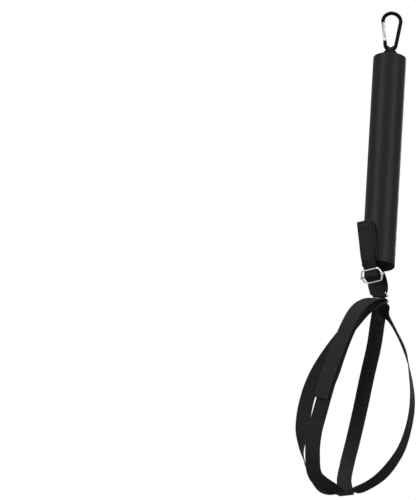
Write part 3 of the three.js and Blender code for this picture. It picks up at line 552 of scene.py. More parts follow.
def make_surroundings():
    """A white world behind, and a pale floor well below the low camera."""
    room = Finish("studio", bpy.data.worlds)
    bpy.context.scene.world = room.owner
    white = room.out("ShaderNodeBackground", Color=(1, 1, 1, 1), Strength=room.room_seen(ROOM_LIGHT))
    room.node("ShaderNodeOutputWorld", None, {0: white})
    bpy.ops.mesh.primitive_grid_add(
        x_subdivisions=4, y_subdivisions=4, size=FLOOR_SIZE, location=(0, 0, FLOOR_Z))
    floor = bpy.context.active_object
    floor.name = "floor"
    floor.data.materials.append(STUDIO)


# Meshes
def new_piece(name, places, edges=(), faces=(), material=None):
    """A piece from its places in metres, smooth and in one material if it has faces."""
    mesh = bpy.data.meshes.new(name)
    mesh.from_pydata([tuple(place) for place in places], edges, faces)
    if faces:
        mesh.materials.append(material)
        mesh.shade_smooth()
    return added(name, mesh)


def new_skin(name, rings, closed, material):
    """A piece from rings of places, and the ring and place in it of each face's corners."""
    count, around = rings.shape[:2]
    corners = []
    for i in range(count if closed else count - 1):
        for j in range(around):
            k = (j + 1) % around
            corners.append([(i, j), (i + 1, j), (i + 1, k), (i, k)])
    if not closed:
        corners.append([(0, j) for j in range(around)])
        corners.append([(count - 1, j) for j in reversed(range(around))])
    faces = [[i % count * around + j for i, j in face] for face in corners]
    return new_piece(name, rings.reshape(-1, 3) * MM, faces=faces, material=material), corners


def outward(mesh, merge=0.0, swell=0.0):
    """Join doubled corners, turn the faces outwards and move the skin out by a swell."""
    work = bmesh.new()
    work.from_mesh(mesh)
    if merge:
        bmesh.ops.remove_doubles(work, verts=work.verts, dist=merge)
    bmesh.ops.recalc_face_normals(work, faces=work.faces)
    work.normal_update()
    for vertex in work.verts:
        vertex.co += vertex.normal * swell
    work.to_mesh(mesh)
    work.free()


def dressed(obj, slot, *nodes):
    """A piece shown in place of its plain solids, which are hidden."""
    if nodes:
        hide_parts(*nodes)


def placed(obj, body, slot, *nodes):
    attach(obj, body)
    dressed(obj, slot, *nodes)


def reaching(obj, bodies, first, last, slot, *nodes):
    """A piece that reaches from one body to another, baked where it stands, its plain solids hidden; the
    bodies and the two places are given but not used.
    """
    tuple(first * MM)
    tuple(last * MM)
    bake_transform(obj)
    dressed(obj, slot, *nodes)


def on_axis(z):
    return np.array([0.0, 0.0, z])


# Bands of webbing
EDGE = 1 - HALF_WEBBING / (WEBBING_WIDTH / 2)
FACE_COLUMNS = (0.22, 0.44, 0.66, 0.84, EDGE)
EDGE_COLUMNS = tuple(1 - share * (1 - EDGE) for share in (0.7, 0.4, 0.15, 0))
COLUMNS = np.array(sorted({0.0} | {
    side * column for side in (-1, 1) for column in FACE_COLUMNS + EDGE_COLUMNS}))
THIN_END = 0.15
STRAP_SHARP = math.radians(65)
CLOSE = 1e-4
SAME_LENGTH = 1e-6


def between(first, last, share):
    return first + (last - first) * share


def unit(vector):
    return vector / np.linalg.norm(vector, axis=-1, keepdims=True)


def eased(shares, low, high):
    t = np.clip((np.asarray(shares, float) - low) / (high - low), 0, 1)
    return t * t * (3 - 2 * t)


def through(places, shares, centripetal):
    """Points of a Catmull-Rom curve through places, at shares of its spans."""
    places = np.asarray(places, float)
    spans = len(places) - 1
    ends = np.vstack([2 * places[0] - places[1], places, 2 * places[-1] - places[-2]])
    at = np.clip(np.asarray(shares, float), 0, 1) * spans
    index = np.minimum(at.astype(int), spans - 1)
    t = (at - index)[:, None]
    p0, p1, p2, p3 = (ends[index + k] for k in range(4))
    if centripetal:
        before, middle, after = (np.sqrt(np.linalg.norm(b - a, axis=1, keepdims=True))
                                 for a, b in ((p0, p1), (p1, p2), (p2, p3)))
        middle = np.where(middle < CLOSE, 1.0, middle)
        before = np.where(before < CLOSE, middle, before)
        after = np.where(after < CLOSE, middle, after)
        m1 = ((p1 - p0) / before - (p2 - p0) / (before + middle) + (p2 - p1) / middle) * middle
        m2 = ((p2 - p1) / middle - (p3 - p1) / (middle + after) + (p3 - p2) / after) * middle
    else:
        m1, m2 = (p2 - p0) / 2, (p3 - p1) / 2
    a = 2 * p1 - 2 * p2 + m1 + m2
    b = 3 * p2 - 3 * p1 - 2 * m1 - m2
    return ((a * t + b) * t + m1) * t + p1


def flat_row(centre, across, width=WEBBING_WIDTH):
    """A straight row of places across the webbing."""
    return np.asarray(centre)[None, :] + COLUMNS[:, None] * (width / 2) * np.asarray(across)[None, :]


class Band:
    """Rows of webbing along a smooth path; the first places keep their direction across."""

    def __init__(self, places, acrosses, kept_places=0):
        self.places = places
        self.acrosses = acrosses
        self.spans = len(places) - 1
        self.kept_share = kept_places / self.spans

    def frame_at(self, shares):
        shares = np.asarray(shares, float)
        centre = through(self.places, shares, True)
        heading = unit(through(self.places, shares + CLOSE, True)
                       - through(self.places, shares - CLOSE, True))
        across = through(self.acrosses, shares, False)
        square = np.minimum(shares / self.kept_share, 1)[:, None] if self.kept_share else 1.0
        across = unit(across - square * np.sum(across * heading, axis=1, keepdims=True) * heading)
        return centre, across, unit(np.cross(heading, across))

    def rows(self, start=0.0, end=1.0, lift=None, width=WEBBING_WIDTH, shift=None):
        shares = np.linspace(start, end, max(2, int(abs(end - start) * self.spans * ROWS_PER_SPAN)))
        centre, across, out = self.frame_at(shares)
        if lift is not None:
            centre = centre + out * lift(shares)[:, None]
        if shift is not None:
            centre = centre + across * shift(shares)[:, None]
        return centre[:, None, :] + COLUMNS[None, :, None] * (width / 2) * across[:, None, :]


def even_rows(rows, pitch, closed):
    """The same band in rows a fixed length apart, so that its ribs are all alike."""
    if closed:
        rows = np.concatenate([rows, rows[:1]])
    middle = rows[:, len(COLUMNS) // 2]
    length = np.concatenate([[0], np.cumsum(np.linalg.norm(np.diff(middle, axis=0), axis=1))])
    keep = np.concatenate([[True], np.diff(length) > SAME_LENGTH])
    rows, length = rows[keep], length[keep]
    count = max(2, int(round(length[-1] / pitch)))
    if closed:
        count = max(ROWS_PER_RIB, count - count % ROWS_PER_RIB)
    at = np.linspace(0, length[-1], count + 1)
    index = np.clip(np.searchsorted(length, at, side="right") - 1, 0, len(length) - 2)
    share = ((at - length[index]) / (length[index + 1] - length[index]))[:, None, None]
    even = between(rows[index], rows[index + 1], share)
    return (even[:-1], at[:-1]) if closed else (even, at)


def webbing(names, rows, cuts=(), closed=False, thickness=WEBBING_THICKNESS, rib=RIB_DEPTH,
            material=WEBBING, taper=0.0):
    """Straps from one run of rows: a rounded section whose two faces are ribbed.

    The run is cut at some lengths, so that two pieces on different bodies meet with no step.
    """
    rows, along = even_rows(np.asarray(rows, float), RIB_PITCH / ROWS_PER_RIB, closed)
    if closed:
        heading = np.roll(rows, -1, axis=0) - np.roll(rows, 1, axis=0)
    else:
        heading = np.gradient(rows, axis=0)
    normal = unit(np.cross(heading, np.gradient(rows, COLUMNS, axis=1)))
    edge = np.clip((np.abs(COLUMNS) - EDGE) / (1 - EDGE), 0, 1)[None, :]
    wave = 0.5 - 0.5 * np.cos(2 * math.pi * np.arange(len(rows)) / ROWS_PER_RIB)[:, None]
    height = thickness / 2 * np.sqrt(1 - edge ** 2) - rib * wave * (1 - edge)
    if taper:
        from_end = np.minimum(along, along[-1] - along)
        height = height * np.clip(from_end / taper, THIN_END, 1)[:, None]
    upper = rows + normal * height[:, :, None]
    lower = (rows - normal * height[:, :, None])[:, 1:-1]
    rings = np.concatenate([upper, lower[:, ::-1]], axis=1)
    lengths = [cut if cut > 0 else along[-1] + cut for cut in cuts]
    ends = [0, *(int(np.argmin(np.abs(along - length))) for length in lengths), len(rows) - 1]
    pieces = [strap_mesh(name, rings, ends[i], ends[i + 1], closed, material)
              for i, name in enumerate(names)]
    return pieces if len(pieces) > 1 else pieces[0]


def strap_mesh(name, rings, first, last, closed, material):
    """One piece of a strap, with its own coordinates across and along the webbing."""
    obj, corners = new_skin(name, rings[first:last + 1], closed, material)
    across = np.concatenate([COLUMNS, COLUMNS[1:-1][::-1]]) * WEBBING_WIDTH / 2 * MM
    pitch = RIB_PITCH / ROWS_PER_RIB * MM
    coords = [(across[j], (first + i) * pitch) for face in corners for i, j in face]
    layer = obj.data.uv_layers.new(name="strap")
    layer.data.foreach_set("uv", np.array(coords, np.float32).ravel())
    outward(obj.data)
    obj.data.set_sharp_from_angle(angle=STRAP_SHARP)
    return obj


# Top loop
def over_bar(turn):
    """A row of the loop, cupped round the carabiner's bar."""
    cup = NARROW_RADIUS - BAR_RADIUS - SEAT_GAP - HALF_WEBBING
    angle = LOOP_PINCH * COLUMNS
    reach = NARROW_RADIUS - cup * np.cos(angle)
    places = [cup * np.sin(angle), reach * math.sin(turn), BEARING_Z + reach * math.cos(turn)]
    return np.stack(places, axis=1)


def smooth_rows(rows, steps=ROWS_FILLED_IN):
    """Rows filled in smoothly between a few given ones."""
    rows = np.asarray(rows, float)
    shares = np.linspace(0, 1, steps * (len(rows) - 1) + 1)
    flat = through(rows.reshape(len(rows), -1), shares, False)
    return flat.reshape(len(shares), rows.shape[1], 3)


def top_loop_rows():
    def flat(side, z):
        return flat_row(np.array([0, side * TAIL_Y, z]), RIGHT)

    def neck(side):
        made = []
        for down, spread, close in NECK_SHARES:
            row = over_bar(side * math.pi / 2)
            row = between(row, flat(side, 0), np.array([spread, close, 0]))
            row[:, 2] = between(BEARING_Z, TUBE_TOP, down)
            made.append(row)
        return made

    wrap = [over_bar(math.pi * (i / LOOP_WRAP_STEPS - 0.5)) for i in range(LOOP_WRAP_STEPS + 1)]
    rows = [flat(-1, TUBE_TOP - LOOP_TAIL), flat(-1, TUBE_TOP), *neck(-1)[::-1], *wrap, *neck(1),
            flat(1, TUBE_TOP), flat(1, TUBE_TOP - LOOP_TAIL)]
    return smooth_rows(rows)


# Strap round the ring, through the buckle and up to its tail
FOLD_OFFSET = WIRE_RADIUS + SEAT_GAP + HALF_WEBBING + FOLD_SLACK
FOLD_TOP_Z = RING_BEND_Z + RING_BEND + FOLD_RISE
FOLD_TOP = np.array([RING_X, FOLD_OFFSET, FOLD_TOP_Z])


def fold_row(turn):
    """The strap lies nearly flat across the ring, where the ring is wide enough for it."""
    wider = float(eased(abs(turn), FOLD_WIDENS_AT, math.pi / 2))
    centre = [FOLD_X - FRONT_ASIDE * wider * (turn < 0), FOLD_OFFSET * math.sin(turn),
              FOLD_Z - FOLD_OFFSET * math.cos(turn)]
    return flat_row(centre, RIGHT, between(FOLD_WIDTH, WEBBING_WIDTH, wider))


BUCKLE_ACROSS = unit(BUCKLE_ACROSS)
BUCKLE_OUT = -unit(np.cross(BUCKLE_ACROSS, BUCKLE_HINT))
BUCKLE_DOWN = unit(np.cross(BUCKLE_ACROSS, BUCKLE_OUT))
BEHIND_BAR = BUCKLE_WIRE + SEAT_GAP + HALF_WEBBING
OVER_WRAP = BEHIND_BAR + LAYER
WEAVE_ANGLE = math.asin((BEHIND_BAR + OVER_WRAP) / BUCKLE_HALF_HEIGHT)


def on_buckle(down, out):
    return BUCKLE_CENTRE + BUCKLE_DOWN * down + BUCKLE_OUT * out


def behind(bar, angle):
    return on_buckle(bar - BEHIND_BAR * math.sin(angle), -BEHIND_BAR * math.cos(angle))


def in_front(angle):
    return on_buckle(-OVER_WRAP * math.sin(angle), OVER_WRAP * math.cos(angle))


def turned_up(vector, angle):
    """A vector turned about the upright axis."""
    c, s = math.cos(angle), math.sin(angle)
    return np.array([c * vector[0] - s * vector[1], s * vector[0] + c * vector[1], vector[2]])


def in_tube(side):
    """The strap's top place in the tube, one in the fitting and one at the tube's mouth."""
    return [np.array([side * MOUTH_X, 0, z])
            for z in (STRAP_TOP_Z, TUBE_BOTTOM + FITTING_RISE / 2, TUBE_BOTTOM)]


def standing_rows():
    *inside, mouth = in_tube(1)
    ease = FOLD_TOP + UP * FOLD_EASE
    places = [*inside, *(between(mouth, ease, share) for share in STANDING_SHARES), FOLD_TOP]
    acrosses = [turned_up(BACK, share * math.pi / 2) for share in (0, 0, *STANDING_SHARES, 1)]
    rows = Band(places, acrosses).rows()
    rows = np.concatenate([rows[:-1], flat_row(FOLD_TOP, -RIGHT)[None]])
    return rows[:, ::-1]


def fold_rows():
    top = flat_row(FOLD_TOP, RIGHT)
    wrap = [fold_row(math.pi * (0.5 - i / FOLD_STEPS)) for i in range(FOLD_STEPS + 1)]
    return smooth_rows([top, (top + wrap[0]) / 2, *wrap], FOLD_ROWS_FILLED_IN)


def returning_rows():
    """The strap widens again above the ring and slants up to the buckle."""
    start = np.array([FOLD_X - FRONT_ASIDE, -FOLD_OFFSET, FOLD_Z])
    end = behind(BUCKLE_HALF_HEIGHT, THREAD_ANGLE)
    first = start + UP * RETURN_RISE - RIGHT * RETURN_ASIDE
    tilted = RIGHT + UP * RETURN_TILT
    rows = [fold_row(-math.pi / 2), flat_row(first, unit(tilted))]
    for share in RETURN_SHARES:
        across = unit(between(tilted, BUCKLE_ACROSS, share ** 2))
        rows.append(flat_row(between(first, end, share), across))
    rows.append(flat_row(end, BUCKLE_ACROSS))
    return smooth_rows(rows)


def tail_rows():
    places = [behind(BUCKLE_HALF_HEIGHT, THREAD_ANGLE), behind(BUCKLE_HALF_HEIGHT, WEAVE_ANGLE),
              in_front(-WEAVE_ANGLE), in_front(0), in_front(WEAVE_ANGLE),
              behind(-BUCKLE_HALF_HEIGHT, -WEAVE_ANGLE), behind(-BUCKLE_HALF_HEIGHT, 0), TAIL_MID,
              (TAIL_MID + TAIL_TOP) / 2, TAIL_TOP]
    turned = [unit(between(BUCKLE_ACROSS, TAIL_ACROSS, share)) for share in TAIL_TURN_SHARES]
    rows = Band(places, [BUCKLE_ACROSS] * (len(places) - len(turned)) + turned).rows()
    heading, inward = tail_directions()
    hem = []
    radius = LAYER / 2
    for i in range(1, HEM_STEPS + 1):
        angle = math.pi * i / HEM_STEPS
        round_end = inward * radius * (1 - math.cos(angle)) + heading * radius * math.sin(angle)
        hem.append(flat_row(TAIL_TOP + round_end, TAIL_ACROSS))
    for share in np.linspace(0, 1, HEM_STEPS + 1)[1:]:
        aside = TAIL_ACROSS * HEM_ASIDE * min(HEM_ASIDE_RATE * share, 1)
        across = unit(between(TAIL_ACROSS, BUCKLE_ACROSS, HEM_TWIST * share))
        hem.append(flat_row(TAIL_TOP + inward * LAYER - heading * HEM_LENGTH * share + aside, across))
    return np.concatenate([rows, np.array(hem)])


def tail_directions():
    """Up the tail, and from its face towards the tube."""
    heading = unit(TAIL_TOP - TAIL_MID)
    inward = unit(np.cross(heading, TAIL_ACROSS))
    return heading, -inward if np.dot(inward, TAIL_TOP) > 0 else inward


def buckle_tab_rows():
    """The short tab from the tube's mouth round the buckle's centre bar and back."""
    *inside, mouth = in_tube(-1)
    away = mouth - BUCKLE_CENTRE
    away = unit(away - np.dot(away, BUCKLE_ACROSS) * BUCKLE_ACROSS)
    side = unit(np.cross(away, BUCKLE_ACROSS))
    if np.dot(side, BUCKLE_DOWN) > 0:
        side = -side

    def round_bar(angle):
        return BUCKLE_CENTRE + side * BEHIND_BAR * math.cos(angle) - away * BEHIND_BAR * math.sin(angle)

    near = round_bar(0) + away * TAB_STANDOFF * BEHIND_BAR - side * HALF_WEBBING
    below = mouth - UP * TAB_EASE
    turns = [unit(between(-BACK, BUCKLE_ACROSS, share)) for share in (0, 0, 0, *TAB_TURN_SHARES, 1, 1)]
    places = [*inside, mouth, below, (near + below) / 2, near, round_bar(0)]
    coming = Band(places, turns, TAB_KEPT_PLACES).rows()
    wrap = np.array([flat_row(round_bar(math.pi * i / TAB_WRAP_STEPS), BUCKLE_ACROSS)
                     for i in range(1, TAB_WRAP_STEPS)])
    doubled = near - side * LAYER
    places = [round_bar(math.pi), doubled, doubled + away * BEHIND_BAR]
    going = Band(places, [BUCKLE_ACROSS] * len(places)).rows()
    return np.concatenate([coming, wrap, going])


# Cradle
def turn_about(axis, angle):
    return np.array(Matrix.Rotation(angle, 3, axis))


CROSSING_PLANE = (turn_about("Z", CROSSING_TURN) @ turn_about("X", CROSSING_PITCH)
                  @ turn_about("Y", -CROSSING_ROLL))
TO_RIGHT = CROSSING_PLANE @ RIGHT
TO_BACK = CROSSING_PLANE @ BACK
OUT_OF_CRADLE = -(CROSSING_PLANE @ UP)
INNER_WRAP = WIRE_RADIUS + SEAT_GAP + HALF_WEBBING
OUTER_WRAP = INNER_WRAP + LAYER
CRADLE_PLACE = np.array([RING_X, 0, RING_BAR_Z])


def on_wrap(radius, angle):
    return np.array([0, -radius * math.sin(angle), radius * math.cos(angle)])


def leg(shares, turns, start, outwards, across, layers_out, foot_turn=None, foot_rise=0.0):
    """One strand of a loop from the ring's bar to the crossing, still turned at its foot if asked."""
    meeting = CROSSING + OUT_OF_CRADLE * layers_out * LAYER
    foot = [meeting + outwards * CROSSING_RUN_IN + UP * foot_rise,
            meeting + outwards * CROSSING_HALF, meeting]
    places = [start] + [CRADLE_DROP * np.array(place) for place in shares] + foot
    acrosses = [RIGHT] + [turned_up(RIGHT, math.radians(turn)) for turn in turns] + [across] * len(foot)
    if foot_turn is not None:
        acrosses[-len(foot)] = turned_up(RIGHT, math.radians(foot_turn))
    return Band(places, acrosses, KEPT_PLACES)


left_leg = leg(LEFT_LEG, LEFT_TURNS, on_wrap(INNER_WRAP, WRAP_LEAVE["left"]), -TO_RIGHT, -TO_BACK, 0)
right_leg = leg(RIGHT_LEG, RIGHT_TURNS, on_wrap(INNER_WRAP, WRAP_LEAVE["right"]), TO_RIGHT, -TO_BACK, 0,
                RIGHT_FOOT_TURN, RIGHT_FOOT_RISE)
front_leg = leg(FRONT_LEG, FRONT_TURNS, on_wrap(OUTER_WRAP, WRAP_LEAVE["front"]), -TO_BACK, TO_RIGHT, 1)
back_leg = leg(BACK_LEG, BACK_TURNS, on_wrap(OUTER_WRAP, WRAP_LEAVE["back"]), TO_BACK, TO_RIGHT, 1)


def wrap_rows(radius, start, end):
    return np.array([flat_row(on_wrap(radius, between(start, end, i / WRAP_STEPS)), RIGHT)
                     for i in range(1, WRAP_STEPS)])


LOOP_LIFT = (WEBBING_THICKNESS + PATCH_THICKNESS) / 2 + SEAT_GAP
HOOK_LIFT = LOOP_LIFT + PATCH_THICKNESS + SEAT_GAP
FLAP_LIFT = HOOK_LIFT + (WEBBING_THICKNESS + PATCH_THICKNESS) / 2 + SEAT_GAP


def ramp(shares):
    """How far the upper layer is lifted off the strip."""
    return FLAP_LIFT * eased(shares, *RAMP_SHARES)


def flap_shift(shares):
    """The upper layer lies a little to the left of the strip below it, and the flap more so."""
    return (-STRIP_ASIDE * eased(shares, *STRIP_SHOWS)
            - FLAP_ASIDE * eased(shares, FLAP_ASIDE_START, FLAP_END))


def strip_shift(shares):
    """The strip's end is tucked in under the upper layer, and the strip bows a little at the flap's end."""
    tuck = STRIP_TUCK * (1 - eased(shares, STRIP_START, STRIP_START + STRIP_TUCK_SHARE))
    bow = STRIP_BOW * eased(shares, *BOW_STARTS) * (1 - eased(shares, *BOW_ENDS))
    return -tuck - bow


def side_loop_rows():
    rows = np.concatenate([left_leg.rows(), right_leg.rows()[::-1][1:],
                           wrap_rows(INNER_WRAP, WRAP_LEAVE["right"], WRAP_LEAVE["left"])])
    return rows + CRADLE_PLACE


def front_loop_rows():
    rows = np.concatenate([front_leg.rows(STRIP_START, 1, shift=strip_shift), back_leg.rows()[::-1][1:],
                           wrap_rows(OUTER_WRAP, WRAP_LEAVE["back"], WRAP_LEAVE["front"]),
                           front_leg.rows(0, FLAP_START, ramp, shift=flap_shift)])
    return rows + CRADLE_PLACE


def flap_rows():
    return front_leg.rows(FLAP_START, FLAP_END, ramp, shift=flap_shift) + CRADLE_PLACE


def run_length(rows):
    middle = rows[:, len(COLUMNS) // 2]
    return float(np.sum(np.linalg.norm(np.diff(middle, axis=0), axis=1)))


def make_strap():
    """One run of webbing, cut where the standing strap reaches the ring."""
    standing = standing_rows()
    run = [standing, fold_rows()[1:], returning_rows()[1:], tail_rows()[1:]]
    down, up = webbing(["standing_strap_webbing", "fold_and_tail_webbing"],
                       np.concatenate(run), cuts=[run_length(standing)])
    bodies = ("lower_anchor", "fold")
    reaching(down, bodies, on_axis(TUBE_BOTTOM), on_axis(FOLD_TOP_Z), "webbing", "standing_strap")
    reaching(up, bodies, on_axis(FOLD_TOP_Z + RETURN_STRETCH), on_axis(FOLD_TOP_Z), "webbing",
             "strap_fold", "returning_strap", "strap_tail")
    placed(webbing(["buckle_tab_webbing"], buckle_tab_rows()), "lower_anchor", "webbing", "buckle_tab")


def make_cradle():
    """Two loops; the front one ends in the flap, with the hook and loop tapes of its closure."""
    side = webbing(["side_loop_webbing"], side_loop_rows(), closed=True)
    placed(side, "cradle", "webbing", "side_loop")
    flap_run = flap_rows()
    front, flap = webbing(["front_loop_webbing", "flap_webbing"],
                          np.concatenate([front_loop_rows(), flap_run[1:]]), cuts=[-run_length(flap_run)])
    placed(front, "cradle", "webbing", "front_loop")
    start, hinge = (front_leg.frame_at([share])[0][0] + CRADLE_PLACE
                    for share in (FLAP_HINGE - HINGE_STEP, FLAP_HINGE))
    reaching(flap, ("cradle", "flap"), start, 2 * hinge - start, "webbing", "closure_flap")
    make_tape("loop_tape", "cradle", "loop_patch", LOOP_PATCH_END, LOOP_LIFT, strip_shift,
              LOOP_PILE, LOOP_TAPE_TAPER)
    make_tape("hook_tape", "flap", "hook_patch", FLAP_END - PATCH_END, HOOK_LIFT, flap_shift,
              HOOK_PILE, HOOK_TAPE_TAPER)


def make_tape(name, body, node, end, lift, shift, material, taper):
    """One of the closure's two tapes, a little narrower than the webbing that it is sewn to."""
    def level(shares):
        return np.full(len(shares), lift)

    width = WEBBING_WIDTH - 2 * PATCH_INSET
    rows = front_leg.rows(LOWER_START + PATCH_END, end, level, width, shift) + CRADLE_PLACE
    tape = webbing([name], rows, thickness=PATCH_THICKNESS, rib=0, material=material, taper=taper)
    placed(tape, body, "hook_tape", node)


def make_top_loop():
    placed(webbing(["top_loop_webbing"], top_loop_rows()), "hanger", "webbing", "top_loop")


# Sewing
STITCH_LENGTH = 2.6
STITCH_GAP = 0.7
STITCH_PULL = (0.88, 1.04)
STITCH_SEED = 7
STITCH_SIDES, STITCH_RINGS = 8, 6
THREAD_RADIUS = 0.28
THREAD_LIFT = 0.08
SEAM_INSET = 2.2
FLAP_SEAM_PLACES = 24
FLAP_SEAM_SHARES = (FLAP_HINGE + 0.012, FLAP_END - 0.008)
HEM_SEAM_DOWN = 8.0
HEM_SEAM_GAP = 2.4
TAIL_SEAM_DOWN = 18.0
TAIL_SEAM_ASIDE = 1.5
TAIL_SEAM_LENGTH = 46.0
TAIL_STITCH_GAP = 2.4
TAIL_THREAD_RADIUS = 0.45


class Steps(Tree):
    """A Geometry Nodes tree, and what its group gives by name."""

    def __init__(self, name, sizes):
        self.graph = bpy.data.node_groups.new(name, "GeometryNodeTree")
        face = self.graph.interface
        for label, kind in {"Geometry": "Geometry", **sizes}.items():
            face.new_socket(label, in_out="INPUT", socket_type="NodeSocket" + kind)
        face.new_socket("Geometry", in_out="OUTPUT", socket_type="NodeSocketGeometry")
        self.given = self.outs("NodeGroupInput")

    def vector(self, x, y, z):
        return self.out("ShaderNodeCombineXYZ", X=x, Y=y, Z=z)

    def finish(self, geometry, material):
        """The last steps: real, smooth geometry in its material."""
        real = self.out("GeometryNodeRealizeInstances", Geometry=geometry)
        smooth = self.out("GeometryNodeSetShadeSmooth", Geometry=real)
        coloured = self.out("GeometryNodeSetMaterial", Geometry=smooth, Material=material)
        self.node("NodeGroupOutput", None, {0: coloured})
        return self.graph


def sewing_steps():
    """Stitches laid end to end along a line, each a short rounded length of thread."""
    steps = Steps("row of stitches", {"Stitch Length": "Float", "Gap": "Float",
                                      "Thread Radius": "Float", "Thread": "Material"})
    length, radius = steps.given["Stitch Length"], steps.given["Thread Radius"]
    line = steps.out("GeometryNodeMeshToCurve", Mesh=steps.given["Geometry"])
    dots = steps.outs("GeometryNodeCurveToPoints", {"mode": "LENGTH"}, Curve=line,
                      Length=length + steps.given["Gap"])
    ball = steps.out("GeometryNodeMeshUVSphere", Segments=STITCH_SIDES, Rings=STITCH_RINGS)
    stitch = steps.out("GeometryNodeTransform", Geometry=ball,
                       Scale=steps.vector(radius, radius, length * 0.5))
    heading = steps.out("FunctionNodeAlignRotationToVector", {"axis": "Z"}, Vector=dots["Tangent"])
    # Inputs 2 and 3 and output 1 are the node's plain numbers
    pull = steps.out("FunctionNodeRandomValue", {"data_type": "FLOAT"},
                     {2: STITCH_PULL[0], 3: STITCH_PULL[1]}, output=1, Seed=STITCH_SEED)
    laid = steps.out("GeometryNodeInstanceOnPoints", Points=dots["Points"], Instance=stitch,
                     Rotation=heading, Scale=pull)
    return steps.finish(laid, steps.given["Thread"])


def made_by(steps, obj, sizes):
    """Run the steps on an object once, and keep the plain mesh that they make."""
    modifier = obj.modifiers.new(steps.name, "NODES")
    modifier.node_group = steps
    for item in steps.interface.items_tree:
        if item.item_type == "SOCKET" and item.in_out == "INPUT" and item.name in sizes:
            modifier[item.identifier] = sizes[item.name]
    graph = bpy.context.evaluated_depsgraph_get()
    made = bpy.data.meshes.new_from_object(obj.evaluated_get(graph), depsgraph=graph)
    obj.modifiers.clear()
    obj.data = made


SEWING = sewing_steps()


def sewn(name, lines, body, gap=STITCH_GAP, radius=THREAD_RADIUS):
    """Rows of stitches along lines of places, all on one body."""
    places, edges = [], []
    for line in lines:
        edges += [(len(places) + i, len(places) + i + 1) for i in range(len(line) - 1)]
        places += [np.asarray(place) * MM for place in line]
    obj = new_piece(name, places, edges)
    made_by(SEWING, obj, {"Stitch Length": STITCH_LENGTH * MM, "Gap": gap * MM,
                          "Thread Radius": radius * MM, "Thread": THREAD})
    placed(obj, body, "webbing")


def on_flap(share, across, out):
    """A place on the front leg's upper layer: across it, and out from the leg's middle."""
    centre, side, normal = front_leg.frame_at([share])
    aside = across + float(flap_shift(share))
    return centre[0] + side[0] * aside + normal[0] * out + CRADLE_PLACE


def on_crossing(right, back, out):
    return CROSSING + CRADLE_PLACE + TO_RIGHT * right + TO_BACK * back + OUT_OF_CRADLE * out


def make_sewing():
    half = WEBBING_WIDTH / 2 - SEAM_INSET
    surface = HALF_WEBBING + THREAD_LIFT
    a, b, c, d = (on_crossing(x * half, y * half, LAYER + surface)
                  for x, y in ((-1, -1), (1, -1), (1, 1), (-1, 1)))
    sewn("crossing_stitches", [[a, b, c, d, a, c], [b, d]], "cradle")
    shares = np.linspace(*FLAP_SEAM_SHARES, FLAP_SEAM_PLACES)
    left, right = ([on_flap(share, side * half, FLAP_LIFT + surface) for share in shares]
                   for side in (-1, 1))
    sewn("flap_stitches", [left + right[::-1] + left[:1]], "flap")
    heading, inward = tail_directions()
    face, aside = TAIL_TOP - inward * surface, TAIL_ACROSS * half
    hems = [face - heading * (HEM_SEAM_DOWN - up) for up in (0, HEM_SEAM_GAP)]
    sewn("hem_stitches", [[hem - aside, hem + aside] for hem in hems], "lower_anchor")
    down = face - heading * TAIL_SEAM_DOWN - TAIL_ACROSS * TAIL_SEAM_ASIDE
    sewn("tail_stitches", [[down, down - heading * TAIL_SEAM_LENGTH]], "lower_anchor",
         TAIL_STITCH_GAP, TAIL_THREAD_RADIUS)


# Foam tube and cord
TUBE_SIDES = 128
TUBE_LEVELS = 61
RIM_STEPS = 7
BORE_RIM = 0.8
BORE_RIM_STEPS = 3
SWELL = 0.35
SWELL_SIZE = 38.0
SWELLS_BEYOND = 1.2
SKIN_MERGE = 1e-6
SAME_PLACE = 1e-7
CORD_LEVELS = 180
CORD_SIDES = 48
BRAID_DEPTH = 0.18


def tube_steps():
    """A closed profile turned round the tube's axis, its outside a little uneven."""
    steps = Steps("turned foam tube", {"Sides": "Int", "Bore Radius": "Float", "Swell": "Float",
                                       "Swell Size": "Float", "Foam": "Material"})
    given = steps.given
    profile = given["Geometry"]
    count = steps.out("GeometryNodeAttributeDomainSize", {"component": "MESH"}, Geometry=profile)
    grid = steps.out("GeometryNodeMeshGrid", None, {
        "Vertices X": given["Sides"] + 1.0, "Vertices Y": count + 1.0})
    here = steps.out("GeometryNodeInputPosition")
    around, along, _ = steps.parts(here)
    turn = (around + 0.5) * (2 * math.pi)
    index = steps.maths("MODULO", steps.maths("ROUND", (along + 0.5) * count), count)
    place = steps.out("GeometryNodeSampleIndex", {"data_type": "FLOAT_VECTOR", "domain": "POINT"},
                      Geometry=profile, Value=here, Index=index)
    radius, _, height = steps.parts(place)
    cosine, sine = steps.maths("COSINE", turn), steps.maths("SINE", turn)
    noise = steps.out("ShaderNodeTexNoise", Scale=1.0, Detail=1.0,
                      Vector=steps.vector(cosine, sine, height / given["Swell Size"]))
    outside = steps.maths("GREATER_THAN", radius, given["Bore Radius"] * SWELLS_BEYOND)
    reach = radius + (noise - 0.5) * (outside * given["Swell"])
    laid = steps.out("GeometryNodeSetPosition", Geometry=grid,
                     Position=steps.vector(reach * cosine, reach * sine, height))
    closed = steps.out("GeometryNodeMergeByDistance", Geometry=laid, Distance=SKIN_MERGE)
    return steps.finish(closed, given["Foam"])


def rounded_rim(edge_radius, rounding, steps):
    """Radius and depth of a rim's places, from its flat end round to the wall at edge_radius."""
    return [(edge_radius - rounding * (1 - math.sin(angle)), abs(rounding) * (1 - math.cos(angle)))
            for angle in np.linspace(0, math.pi / 2, steps + 1)]


